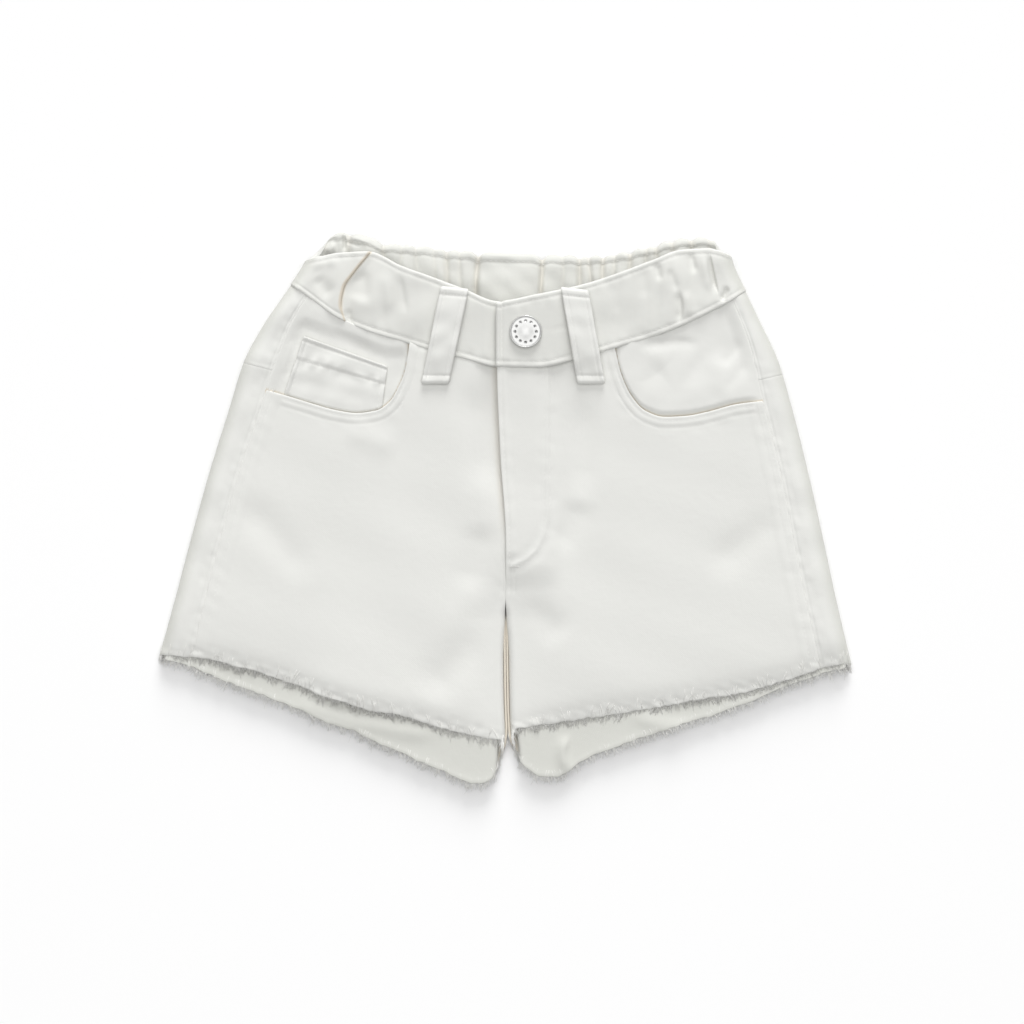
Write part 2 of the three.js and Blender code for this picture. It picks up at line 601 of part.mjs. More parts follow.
// ---- pieces that lie on the front or below it ----
// Four-sided piece: u runs along the top and foot edges, v from top to foot.
function patch(top, foot) {
  return (u, v) => {
    const x = mix(mix(top[0][0], top[1][0], u), mix(foot[0][0], foot[1][0], u), v);
    const y = mix(mix(top[0][1], top[1][1], u), mix(foot[0][1], foot[1][1], u), v);
    return onFront(x, y);
  };
}

// A pocket facing fills the scoop and runs on under the front panel.
function facing(side) {
  const scoop = SCOOP[sideName(side)];
  const mouthEnd = side < 0 ? scoop[scoop.length - 1].x : scoop[0].x;
  const depth = side < 0 ? 2 * (TWILL + LAYER_GAP) : TWILL + LAYER_GAP;
  const start = (y) => seamX(side, y) - side * SEAM_GAP;
  const end = mouthEnd - side * FACING.under;
  const span = FACING_SPAN[sideName(side)];
  const placeAt = (u, v) => settle(
    (y) => onFront(mix(start(y), end, u), y),
    (place) => {
      const foot = Math.min(read(scoop, "x", "y", clamp(place.x, ...span)), FACING.footY) - FACING.under;
      return mix(frontWaist(place.x) - SEAM_GAP / 2 - FACING.top, foot, v);
    },
    FIRST_Y.facing,
  );
  // Sunk where the front panel or the coin pocket covers it, and nearly flush beyond them.
  const [coinStart, coinEnd] = COIN.top;
  const coinEdge = (x) => {
    const share = clamp((x - coinStart[0]) / (coinEnd[0] - coinStart[0]), 0, 1);
    return mix(coinStart[1], coinEnd[1], share);
  };
  const rise = (place) => {
    const fromMouth = Math.min(
      place.y - read(scoop, "x", "y", clamp(place.x, scoop[0].x, scoop[scoop.length - 1].x)),
      side * (place.x - mouthEnd),
    );
    const clear = side < 0 ? ease(...FACING.coinClear, place.y - coinEdge(place.x)) : 1;
    return -depth + (depth - LAYER_GAP) * clear * ease(...FACING.ramp, fromMouth);
  };
  return { placeAt, rise };
}

// A belt loop on the front band: it bridges down from the band to the panel below it.
function frontLoop(loop) {
  const half = LOOP.width / 2;
  const placeAt = patch(
    [[loop.topX - half, loop.topY + LOOP.tilt], [loop.topX + half, loop.topY - LOOP.tilt]],
    [[loop.footX - half, loop.footY], [loop.footX + half, loop.footY]],
  );
  const side = loop.topX < 0 ? -1 : 1;
  const rise = (place) => {
    const seam = frontWaist(place.x);
    const onPanel = side > 0 ? flyLift(place.x, place.y) : 0;
    const step = ease(seam - LOOP.stepStart, seam - LOOP.stepEnd, place.y);
    return mix(onPanel, bandRise(side)(place), step) + LAYER_GAP + LOOP.thick;
  };
  return { placeAt, rise };
}

// A back loop lies under the band, on the surface.
function backLoop(loop) {
  const half = LOOP.width / 2;
  const foot = backWaist(loop.x) - LOOP_BACK.belowSeam;
  return (u, v) => {
    const x = loop.x + mix(-half, half, u);
    return { x, y: mix(foot + LOOP_BACK.length, foot, v), z: 0, outX: 0, outZ: -1, back: 1 };
  };
}

// ---- frayed hems ----
// A narrow strip beyond a cut edge, with short threads standing out from it.
function fray(columns, placeAt, riseAt, seed) {
  const inset = (TWILL - FRAY.thick) / 2;
  const rise = (place) => riseAt(place) - inset;
  const edgeAt = (i) => placeAt(columns[i], 1, i);
  const vector = (from, to) => new THREE.Vector3(to.x - from.x, to.y - from.y, to.z - from.z).normalize();
  const beyond = (i, distance) => {
    const edge = edgeAt(i);
    const way = vector(placeAt(columns[i], FRAY.lookBack, i), edge);
    const along = vector(edgeAt(Math.max(i - 1, 0)), edgeAt(Math.min(i + 1, columns.length - 1)));
    const slant = Math.max(Math.sqrt(1 - way.dot(along) ** 2), FRAY.leastSlant);
    return { ...edge, x: edge.x + way.x * distance / slant, y: edge.y + way.y * distance / slant };
  };
  const strip = wall(columns, 1, (u, v, i) => beyond(i, FRAY.gap + v * FRAY.strip), FRAY.thick, rise);
  const middle = (i, distance) => {
    const place = beyond(i, distance);
    const out = rise(place) - FRAY.thick / 2;
    return new THREE.Vector3(place.x + place.outX * out, place.y, place.z + place.outZ * out);
  };
  const line = columns.map((_, i) => {
    return { root: middle(i, FRAY.gap + FRAY.strip / 2), end: middle(i, 2 * FRAY.strip) };
  });
  const lengths = line.map((spot, i) => (i === 0 ? 0 : spot.root.distanceTo(line[i - 1].root)));
  const whole = lengths.reduce((a, b) => a + b);
  const count = Math.round(whole / THREAD.pitch);
  let joined = toManifold(strip);
  for (let k = 0; k < count; k++) {
    let walked = whole * (k + 0.5 + THREAD_STRAY.along * (wander(seed + k) - 0.5)) / count;
    let i = 1;
    while (walked > lengths[i] && i < lengths.length - 1) walked -= lengths[i++];
    const share = walked / lengths[i];
    const root = line[i - 1].root.clone().lerp(line[i].root, share);
    const along = line[i - 1].end.clone().lerp(line[i].end, share).sub(root).normalize();
    const lean = THREAD_STRAY.lean * (wander(seed + 2 * k + 0.5) - 0.5);
    const way = new THREE.Vector3(along.x - along.y * lean, along.y + along.x * lean, along.z).normalize();
    const length = mix(THREAD.shortest, THREAD.longest, wander(seed + 3 * k + 0.2));
    const thread = new THREE.CylinderGeometry(THREAD.tip, THREAD.root, length, THREAD.sides, 1);
    thread.translate(0, length / 2, 0);
    thread.applyQuaternion(new THREE.Quaternion().setFromUnitVectors(new THREE.Vector3(0, 1, 0), way));
    thread.translate(root.x, root.y, root.z);
    joined = joined.add(toManifold(thread));
  }
  return toGeometry(joined);
}

// ---- the button ----
function button() {
  const stem = [[0, 0], [BUTTON.shank, 0], [BUTTON.shank, BUTTON.stem]];
  const profile = [...stem, ...BUTTON_FACE.map((row) => [row.from, BUTTON.stem + row.up])];
  const lathed = new THREE.LatheGeometry(profile.map(([x, y]) => new THREE.Vector2(x, y)), BUTTON.sides);
  lathed.rotateX(Math.PI / 2);
  const place = onFront(BUTTON.x, BUTTON.y);
  lathed.translate(place.x, place.y, place.z + BAND_PROUD + LAYER_GAP);
  return lathed;
}

// The keyhole that the button's shank comes up through.
function buttonhole() {
  const { eyelet: wide, slot: narrow, length, deep, sides } = BUTTONHOLE;
  const eyelet = new THREE.CylinderGeometry(wide, wide, deep, sides);
  eyelet.rotateX(Math.PI / 2);
  eyelet.translate(BUTTON.x, BUTTON.y, 0);
  const slot = new THREE.BoxGeometry(length, narrow, deep);
  slot.translate(BUTTON.x + length / 2, BUTTON.y, 0);
  const cutter = toManifold(eyelet).add(toManifold(slot));
  return cutter.translate([0, 0, frontZ(BUTTON.x, BUTTON.y)]);
}

// ---- put together ----
const CLOTH_COLOR = 0xe9e9e5;
const THREAD_COLOR = 0xf1f1ed;
const group = new THREE.Group();
group.name = "twill_shorts";
function add(name, geometry, color = CLOTH_COLOR, finish = {}) {
  group.add(solid(name, color, geometry, finish));
}

for (const [word, side] of Object.entries(SIDES)) {
  const front = frontPanel(side);
  add(`front_panel_${word}`, wall(front.columns, CELLS.frontDown, front.placeAt, TWILL, front.lift));
  const around = stretches(...CELLS.backAcross);
  const panelAt = backPiece(side, LINES.yoke, LINES.hem, SEAM_GAP / 2, 0);
  add(`back_panel_${word}`, wall(around, CELLS.backDown, panelAt, TWILL));
  const yokeAt = backPiece(side, LINES.waist, LINES.yoke, SEAM_GAP, SEAM_GAP / 2);
  add(`back_yoke_${word}`, wall(around, CELLS.yokeDown, yokeAt, TWILL));
  const pocket = facing(side);
  add(`pocket_facing_${word}`, wall(...CELLS.facing, pocket.placeAt, TWILL, pocket.rise));
  const seed = FRAY_SEEDS[word];
  add(`frayed_hem_front_${word}`, fray(front.columns, front.placeAt, front.lift, seed), THREAD_COLOR);
  add(`frayed_hem_back_${word}`, fray(around, panelAt, () => 0, seed + FRAY_SEEDS.back), THREAD_COLOR);
}

const elasticAt = (u, v) => settle((y) => elasticWay(y, v, u), (place) => bandLevel(place, v), FIRST_Y.band);
add("waistband_elastic", wall(stretches(...CELLS.elastic), CELLS.bandDown, elasticAt, BAND, elasticRise));
add("waistband_front_right", wall(CELLS.bandRight, CELLS.bandDown, plainBand(-1), BAND, bandRise(-1)));
const lapped = wall(CELLS.bandLeft, CELLS.bandDown, plainBand(1), BAND, bandRise(1));
add("waistband_front_left", toGeometry(toManifold(lapped).subtract(buttonhole())));
for (const loop of FRONT_LOOPS) {
  const made = frontLoop(loop);
  add(loop.name, wall(...CELLS.frontLoop, made.placeAt, LOOP.thick, made.rise));
}
for (const loop of BACK_LOOPS) add(loop.name, wall(...CELLS.backLoop, backLoop(loop), LOOP.thick));
const coin = patch(COIN.top, COIN.foot);
const oneBelow = -TWILL - LAYER_GAP; // under one layer of the front
add("coin_pocket", wall(...CELLS.coin, coin, TWILL, () => oneBelow));
add("fly_shield", wall(...CELLS.shield, patch(SHIELD.top, SHIELD.foot), TWILL, () => oneBelow));
add("zip_tape", wall(...CELLS.tape, patch(TAPE.top, TAPE.foot), TAPE.thick, () => -TAPE.below));
add("button", button(), 0xc9cacb, { roughness: 0.35, metalness: 0.9 });

export default group;
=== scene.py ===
"""Twill shorts for a child, laid flat with the front on top: their looks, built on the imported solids.

Lengths are in millimetres until a mesh is made. +Z is up from the surface that the shorts lie on and +Y
runs towards the waist. Left and right are the wearer's: side -1 is the wearer's right, at -X.
"""
import math

import bpy
import numpy as np
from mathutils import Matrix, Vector


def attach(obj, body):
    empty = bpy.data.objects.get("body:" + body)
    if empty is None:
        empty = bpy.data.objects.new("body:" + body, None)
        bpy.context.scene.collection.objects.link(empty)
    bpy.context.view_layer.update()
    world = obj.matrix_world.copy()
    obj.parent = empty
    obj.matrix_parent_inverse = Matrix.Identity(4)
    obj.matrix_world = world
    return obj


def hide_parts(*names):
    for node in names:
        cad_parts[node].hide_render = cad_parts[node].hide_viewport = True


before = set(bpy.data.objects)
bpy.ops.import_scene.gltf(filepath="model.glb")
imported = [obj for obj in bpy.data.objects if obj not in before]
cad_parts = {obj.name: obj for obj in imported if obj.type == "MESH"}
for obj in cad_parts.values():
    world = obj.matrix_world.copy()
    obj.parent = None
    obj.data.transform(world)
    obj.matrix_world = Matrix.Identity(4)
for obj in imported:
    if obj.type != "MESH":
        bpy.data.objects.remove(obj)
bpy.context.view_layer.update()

MM = 0.001
SIDES = {"right": -1, "left": 1}

# ---- the camera, straight above ----
LENS = 135.0
SENSOR = 36.0
VIEW_WIDTH = 542.7  # what the picture spans on the garment
VIEW_CENTRE = (2.4, 0.3)
VIEW_LEVEL = 8.0

# ---- cloth ----
TWILL = 1.2  # one layer with its seam allowances
BAND = 2.4  # waistband: two layers of twill and the elastic between them
SEAM_GAP = 0.3
VISIBLE_GAP = 0.08  # seams look closed
HALF_GAP = VISIBLE_GAP / 2
LAYER_GAP = 0.45
BAND_PROUD = 0.7
CROTCH_Y = -58.0
CROTCH_BLEND = 14.0
CROTCH_REACH = 44.0  # how far up the front sinks towards the crotch


def named(columns, rows):
    """A table as one array for each named column."""
    values = np.array(rows, float)
    return {name: values[:, i] for i, name in enumerate(columns)}


# Half the width between the two side folds, how far its middle leans to +X, the radius of the side folds,
# how far in from the fold the front levels out, and how far in each side seam lies.
OUTLINE = named(["y", "half", "lean", "radius", "shoulder", "seam_right", "seam_left"], [
    (-84, 185.3, -1.8, 3.7, 9.0, 18.4, 17.4),
    (-46, 175.5, -1.0, 3.9, 9.4, 16.6, 16.8),
    (-13, 167.6, -0.2, 4.2, 9.6, 16.4, 16.4),
    (21, 159.0, 0.7, 4.6, 9.6, 16.4, 15.4),
    (55, 149.4, 1.7, 5.1, 9.6, 16.9, 15.2),
    (81, 141.4, 2.0, 5.7, 9.4, 17.4, 13.4),
    (98, 132.9, 2.6, 6.2, 8.8, 15.2, 11.0),
    (114, 123.6, 4.2, 6.8, 8.4, 13.6, 10.0),
    (131, 113.9, 5.8, 6.8, 8.0, 12.4, 9.4),
    (147, 107.8, 7.6, 6.2, 7.6, 12.0, 9.0),
])

# The centre front line above the crotch, and half the slot between the legs below it.
CENTRE = named(["y", "x", "slot"], [
    (-146, 0.8, 4.2),
    (-134, 0.6, 3.0),
    (-125, 0.5, 2.2),
    (-116, 0.2, 1.4),
    (-100, -0.4, 1.5),
    (-80, -0.7, 1.5),
    (-66, -0.8, 1.0),
    (-58, -0.9, 0.4),
    (-46, -1.0, 0.22),
    (-17, -0.7, 0.2),
    (33, -3.7, 0.2),
    (78, -5.3, 0.2),
    (147, -5.3, 0.2),
])

# The waistband's lower seam and its top edge, by their place along X, on the front and on the back.
BAND_FRONT = named(["x", "seam", "top"], [
    (-118, 124.0, 127.0), (-104, 113.6, 133.0), (-90, 103.6, 136.4), (-74, 96.4, 137.2), (-56, 91.0, 129.4),
    (-40, 86.2, 123.6), (-24, 82.2, 117.6), (-5, 77.8, 110.8), (16, 77.4, 114.4), (36, 81.6, 118.6),
    (54, 86.8, 124.0), (76, 93.2, 132.2), (92, 99.4, 138.0), (106, 106.2, 138.8), (116, 111.4, 135.6),
    (130, 120.0, 127.0),
])
BAND_BACK = named(["x", "seam", "top"], [
    (-118, 122.5, 127.0), (-104, 117.0, 136.0), (-99, 115.0, 141.0), (-94, 113.6, 145.6), (-86, 111.6, 147.2),
    (-76, 109.0, 144.6), (-66, 107.0, 141.2), (-44, 103.0, 139.4), (-24, 100.4, 137.4), (-5, 99.2, 135.4),
    (16, 99.2, 134.8), (38, 100.6, 134.8), (56, 103.0, 135.8), (76, 107.0, 139.8), (92, 110.2, 143.6),
    (105, 112.2, 144.4), (110, 113.6, 143.0), (114, 114.4, 137.8), (120, 116.0, 135.0), (130, 119.6, 131.0),
])

# The cut edges of the hems.
HEMS = named(["x", "front", "back"], [
    (-187, -74.6, -76.0), (-170, -76.2, -80.6), (-154, -78.8, -87.4), (-127, -86.2, -97.4),
    (-100, -95.4, -109.0), (-80, -102.6, -117.0), (-59, -107.0, -126.4), (-40, -112.0, -134.6),
    (-25, -116.4, -141.2), (-15, -118.6, -143.2), (-8, -119.8, -141.0), (-4, -120.2, -134.0),
    (4, -114.4, -130.4), (9, -113.4, -134.4), (17, -112.0, -140.2), (26, -110.8, -139.8),
    (38, -109.0, -132.6), (64, -105.6, -121.8), (91, -101.0, -112.8), (118, -96.6, -104.0),
    (144, -89.8, -93.4), (168, -82.2, -84.6), (187, -79.4, -80.4),
])

# The seams of the back yokes, by their distance from the middle.
YOKE = named(["from", "seam"], [
    (0, 50), (16, 52), (40, 55.6), (60, 59.4), (90, 66), (120, 73), (150, 80), (187, 86),
])

# The curved mouths of the two front pockets.
SCOOP = {
    -1: named(["x", "y"], [
        (-130, 65.2), (-117, 61.4), (-104, 57.4), (-91, 53.8), (-80, 52.2),
        (-69.4, 53.6), (-62.2, 58.4), (-57.4, 66.6), (-54, 75.4), (-51.6, 90.0),
    ]),
    1: named(["x", "y"], [
        (56.4, 88.0), (60.2, 72.6), (65.6, 61.2), (73, 53.4),
        (83, 50.2), (93.4, 50.6), (105.6, 52.8), (120.8, 56.8), (138, 59.0),
    ]),
}
MOUTH_END = {-1: -51.6, 1: 56.4}

# ---- how the cloth rises ----
LOFT = 3.0
HEM_SINK = {"depth": 2.2, "reach": 13.0}
EDGE_RISE = 26.0
SIDE_RISE = 0.75  # share of the loft that the front has already at its side folds

# Soft folds and sharper creases of the front, through three points: a ridge where height is above 0.
# sharp is 0 for a round fold and 1 for a crease that is steep on its first side.
FOLD = ["x1", "y1", "x2", "y2", "x3", "y3", "width", "height", "sharp"]
FRONT_FOLDS = named(FOLD, [
    (-19, 72, -14, 34, -12, 8, 8, -1.4, 0),
    (-13, -4, -15, -20, -21, -44, 9, -1.3, 0),
    (40, 66, 40, 36, 39, 4, 8, -1.4, 0),
    (39, 8, 34, -7, 24, -20, 8, -1.0, 0),
    (-144, 10, -124, -12, -102, -38, 9, -1.2, 0),
    (148, 0, 127, -15, 104, -32, 9, -1.1, 0),
    (-5, -64, -26, -80, -46, -100, 12, -2.0, 0),
    (4, -50, 16, -56, 32, -68, 9, -1.2, 0),
    (-88, 46, -72, 39, -56, 34, 7, 0.9, 0),
    (-118, -86, -74, -100, -30, -112, 14, 1.3, 0),
])

JOINT = named(["up", "right", "left"], [
    (0, -89.5, 112.2), (0.2, -92.1, 111.2), (0.49, -90.5, 109.4), (0.77, -84.1, 107.7), (1, -76.7, 106.6),
])
JOINT_LAP = 3.5
LAP_END = 22.0
FLY = {"bottom": -24.0, "underlap": 6.5, "flat": 21.0, "reach": 33.0}

# Pleats that the elastic draws: place along X, depth and half width.
PLEATS = named(["x", "depth", "width"], [
    (-96, 1.0, 4.0), (-84, 1.3, 3.6), (-66, 1.2, 3.4), (-57, 0.8, 3.2), (-49, 0.9, 3.2), (-39, 0.8, 3.0),
    (-32, 1.4, 3.0), (-25, 0.9, 2.8), (-16, 1.9, 2.8), (18, 1.9, 2.8), (29, 0.9, 3.2), (38, 1.5, 3.0),
    (44, 1.3, 2.8), (51, 1.6, 3.0), (57, 1.0, 2.8), (65, 1.5, 3.2), (73, 1.1, 3.0), (79, 1.4, 3.0),
    (88, 1.2, 3.4), (98, 1.4, 3.6), (108, 1.0, 3.6),
])

LOOP = {"width": 13.4, "thick": 1.8, "back_length": 38.0}
FRONT_LOOPS = {
    "belt_loop_front_right": (-27.8, 118.2, -38.2, 68.4),
    "belt_loop_front_left": (35.4, 117.6, 44.2, 68.4),
}
BACK_LOOPS = {"belt_loop_back_right": -66.0, "belt_loop_back": 6.0, "belt_loop_back_left": 78.0}
COIN_TOP = ((-107.2, 92.6), (-63.8, 77.0))
COIN_FOOT = ((-119.6, 57.0), (-67.6, 48.8))
TAPE_THICK, TAPE_BELOW = 0.9, 0.2
TAPE_TOP, TAPE_FOOT = ((3.4, 74.0), (15, 74.0)), ((8.4, -10), (15, -8))
SHIELD_TOP, SHIELD_FOOT = ((-14, 74.4), (20, 73.6)), ((-10, -16), (20, -12))
BUTTON = {"x": 9.6, "y": 95.4, "radius": 8.5, "height": 3.6}


# How many cells each grid of cloth has: across, or in each stretch of its way round, and down.
CELLS = {
    "front": 184, "front_turn": 12, "front_down": 176,
    "back": (16, 20, 110, 14), "back_down": 112, "yoke": (16, 20, 70, 4), "yoke_down": 40,
    "elastic": (44, 30, 470, 30, 34), "band": 190, "band_up": 44, "facing": (112, 76), "coin": (92, 80),
    "front_loop": (34, 100), "back_loop": (20, 50), "shield": (40, 90), "tape": (14, 60),
}


# ---- curves and blends ----
def mix(a, b, t):
    return a + (b - a) * t


def ease(start, end, v):
    t = np.clip((np.asarray(v, float) - start) / (end - start), 0, 1)
    return t * t * (3 - 2 * t)


def bell(off, width):
    """1 in the middle, falling away to both sides over this width."""
    return np.exp(-((off / width) ** 2))


def read(rows, key, value, at):
    """A smooth curve through a table: the column `value` at the place `at` of the column `key`."""
    xs, ys = rows[key], rows[value]
    at = np.asarray(at, float)
    secant = np.diff(ys) / np.diff(xs)
    slope = np.empty_like(ys)
    slope[0], slope[-1] = secant[0], secant[-1]
    product = secant[:-1] * secant[1:]
    total = np.where(product > 0, secant[:-1] + secant[1:], 1)
    slope[1:-1] = np.where(product > 0, 2 * product / total, 0)
    i = np.clip(np.searchsorted(xs, at, side="left") - 1, 0, len(xs) - 2)
    step = xs[i + 1] - xs[i]
    t = (at - xs[i]) / step
    bend = t * (1 - t) * step * ((1 - t) * slope[i] - t * slope[i + 1])
    curve = ys[i] + t * t * (3 - 2 * t) * (ys[i + 1] - ys[i]) + bend
    curve = np.where(t < 0, ys[i] + slope[i] * t * step, curve)
    return np.where(t > 1, ys[i + 1] + slope[i + 1] * (t - 1) * step, curve)


def waves(x, y, scale, seed):
    """Uneven ground from -1 to 1: a few waves of about this length, in scattered directions."""
    rng = np.random.default_rng(seed)
    total = np.zeros(np.broadcast(x, y).shape)
    for _ in range(7):
        angle, phase = rng.uniform(0, 2 * math.pi, 2)
        k = 2 * math.pi / (scale * rng.uniform(0.7, 1.5))
        total = total + np.sin(k * (x * math.cos(angle) + y * math.sin(angle)) + phase)
    return total / 3.2


# ---- the frame that every piece of cloth is laid out on ----
def curve(rows, key, value):
    return lambda at: read(rows, key, value, at)


radius, shoulder = curve(OUTLINE, "y", "radius"), curve(OUTLINE, "y", "shoulder")
centre_x = curve(CENTRE, "y", "x")
front_waist, front_top = curve(BAND_FRONT, "x", "seam"), curve(BAND_FRONT, "x", "top")
back_waist, back_top = curve(BAND_BACK, "x", "seam"), curve(BAND_BACK, "x", "top")
front_hem, back_hem = curve(HEMS, "x", "front"), curve(HEMS, "x", "back")
joint_right, joint_left = curve(JOINT, "up", "right"), curve(JOINT, "up", "left")


def fold_x(side, y):
    return read(OUTLINE, "y", "lean", y) + side * read(OUTLINE, "y", "half", y)


def seam_x(side, y):
    return fold_x(side, y) - side * read(OUTLINE, "y", "seam_right" if side < 0 else "seam_left", y)


def inner_x(side, y):
    return centre_x(y) + side * read(CENTRE, "y", "slot", y)


def turned(y):
    return ease(CROTCH_Y + CROTCH_BLEND, CROTCH_Y, y)


def turn_angle(y):
    return turned(y) * (math.pi / 2 - SEAM_GAP / 2 / radius(y))


def yoke_seam(x):
    tilt = np.where(np.asarray(x) < 0, 1.5, -6.0)
    return read(YOKE, "from", "seam", np.abs(x)) + tilt * ease(60, 140, np.abs(x))


def curve_through(a, b, c, count=14):
    """Points of an even curve through three points."""
    t = np.linspace(0, 1, count)[:, None]
    middle = 2 * np.array(b) - (np.array(a) + np.array(c)) / 2
    return (1 - t) ** 2 * np.array(a) + 2 * t * (1 - t) * middle + t * t * np.array(c)


def along_line(line, x, y):
    """Distance of each place from a line, signed by its side, and how far along the line it is."""
    x, y = np.asarray(x, float), np.asarray(y, float)
    best = np.full(x.shape, 1e9)
    signed = np.zeros(x.shape)
    along = np.zeros(x.shape)
    walked = 0.0
    for (ax, ay), (bx, by) in zip(line[:-1], line[1:]):
        dx, dy = bx - ax, by - ay
        length = math.hypot(dx, dy)
        t = np.clip(((x - ax) * dx + (y - ay) * dy) / length**2, 0, 1)
        ox, oy = x - ax - t * dx, y - ay - t * dy
        off = np.hypot(ox, oy)
        nearer = off < best
        best = np.where(nearer, off, best)
        signed = np.where(nearer, np.where(dx * oy - dy * ox >= 0, off, -off), signed)
        along = np.where(nearer, walked + t * length, along)
        walked += length
    return signed, along / walked


def folds(table, x, y, fold_end=0.32):
    """Height of all the folds of a table at each place. Each dies out over this share of it at both ends."""
    total = np.zeros(np.broadcast(x, y).shape)
    for i in range(len(table["x1"])):
        f = {name: values[i] for name, values in table.items()}
        line = curve_through((f["x1"], f["y1"]), (f["x2"], f["y2"]), (f["x3"], f["y3"]))
        off, share = along_line(line, x, y)
        steep = np.where(off > 0, 1 + 1.6 * f["sharp"], 1 - 0.25 * f["sharp"])
        fade = ease(0, fold_end, share) * ease(1, 1 - fold_end, share)
        total = total + f["height"] * fade * np.exp(-((off * steep / f["width"]) ** 2))
    return total


def front_z(x, y):
    """The outer face of the front, above the surface it lies on."""
    side = np.where(x < centre_x(y), -1, 1)
    r = radius(y)
    from_fold = side * (fold_x(side, y) - x) - shoulder(y)
    from_inner = side * (x - inner_x(side, y)) - r * turned(y)
    near_crotch = ease(CROTCH_Y + CROTCH_REACH, CROTCH_Y, y)
    rise = mix(SIDE_RISE, 1, ease(0, EDGE_RISE, from_fold))
    rise = rise * mix(1, ease(0, EDGE_RISE, from_inner), near_crotch)
    sink = HEM_SINK["depth"] * np.exp(-np.maximum(y - front_hem(x), -4) / HEM_SINK["reach"])
    return 2 * r + rise * (LOFT - sink + folds(FRONT_FOLDS, x, y) + 0.28 * waves(x, y, 46, 3))


def back_z(x, y):
    """The outer face of the back, held up by the belt loops below its band."""
    near = np.min([np.abs(x - at) for at in BACK_LOOPS.values()], axis=0)
    over = ease(26, LOOP["width"] / 2 + 2, near) * ease(30, 10, back_waist(x) - y)
    return (LOOP["thick"] + LAYER_GAP) * over


class Places:
    """Places on a piece of cloth: x, y, z of its outer face, the way out (ox, oz) and its share of back."""

    def __init__(self, x, y, z, ox, oz, back):
        self.x, self.y, self.z, self.ox, self.oz, self.back = np.broadcast_arrays(x, y, z, ox, oz, back)

    def out(self, rise):
        return np.stack([self.x + self.ox * rise, self.y + 0 * rise, self.z + self.oz * rise], -1)

    @property
    def at(self):
        return self.x, self.y

    @property
    def top(self):
        """How far the outer face looks up, from 0 to 1."""
        return np.clip(self.oz, 0, 1)


def choose(masks, places):
    """For each place, the first of the places whose mask holds."""
    fields = [np.select(masks, [getattr(p, k) for p in places]) for k in ("x", "y", "z", "ox", "oz", "back")]
    return Places(*fields)


def on_front(x, y):
    return Places(x, y, front_z(x, y), 0, 1, 0)


def side_fold_shade(side, place):
    """How much painted shade darkens a side fold, from 0 where it has levelled out."""
    return 0.9 * ease(8.0, 0.5, side * (fold_x(side, place.y) - place.x))


def slot_lip(y):
    """How far the back reaches further into the slot between the legs than the front."""
    return 0.94 * np.abs(inner_x(1, y) - centre_x(y)) * ease(-128, -114, y)


def inner_turn(side, y, angle, back):
    r = radius(y)
    centre = inner_x(side, y) + side * r * np.sin(turn_angle(y))
    up = -1 if back else 1
    flat = back_z(centre, y) if back else front_z(centre, y)
    share = 1 - 0.5 * np.sin(angle) if back else 0.5 * (1 - np.cos(angle))
    lip = slot_lip(y) * np.sin(angle) ** 2 if back else 0.0
    return Places(
        centre - side * (r * np.sin(angle) + lip), y, flat - up * r * (1 - np.cos(angle)),
        -side * np.sin(angle), up * np.cos(angle), share,
    )


def front_way(side, y, u, start, extra=0.0):
    r, turn = radius(y), turn_angle(y)
    flat_end = inner_x(side, y) + side * r * np.sin(turn) - side * extra
    run = side * (start - flat_end)
    last = r * math.pi / 2
    before = run + r * turn - last
    walked = np.where(u <= 1, u * before, before + (u - 1) * last)
    flat = (walked <= run) | (turn == 0)
    angle = np.clip((walked - run) / r, 0, math.pi / 2)
    return choose([flat, ~flat], [on_front(start - side * walked, y), inner_turn(side, y, angle, False)])


def side_turn(side, y, angle):
    """The half turn of a side fold, from a quarter turn up to one down. Its upper half slopes far inwards."""
    r = radius(y)
    fold = fold_x(side, y)
    reach = np.where(angle > 0, shoulder(y), r)
    crown = front_z(fold - side * reach, y) - r
    height = np.where(angle > 0, crown, r)
    ox, oz = height * np.cos(angle), reach * np.sin(angle)
    length = np.hypot(ox, oz)
    return Places(
        fold - side * reach * (1 - np.cos(angle)), y,
        r + height * np.sin(angle) + back_z(fold, y) * (0.5 - 0.5 * np.sin(angle)),
        side * ox / length, oz / length, 0.5 - angle / math.pi,
    )


def on_back(x, y):
    return Places(x, y, back_z(x, y), 0, -1, 1)


def back_way(side, y, u):
    r, turn = radius(y), turn_angle(y)
    start = seam_x(side, y) + side * HALF_GAP
    level = fold_x(side, y) - side * shoulder(y)
    fold = fold_x(side, y) - side * r
    flat_end = inner_x(side, y) + side * r * np.sin(turn)
    under = side * (fold - flat_end)
    last = r * math.pi / 2
    before = under + r * turn - last
    walked = np.where(u <= 3, (u - 2) * before, before + (u - 3) * last)
    flat = (walked <= under) | (turn == 0)
    around = np.clip(math.pi / 2 - (u - 1) * math.pi, -math.pi / 2, math.pi / 2)
    angle = np.clip((walked - under) / r, 0, math.pi / 2)
    return choose(
        [u < 1, u < 2, flat, ~flat],
        [on_front(mix(start, level, np.clip(u, 0, 1)), y), side_turn(side, y, around),
         on_back(fold - side * walked, y), inner_turn(side, y, angle, True)],
    )


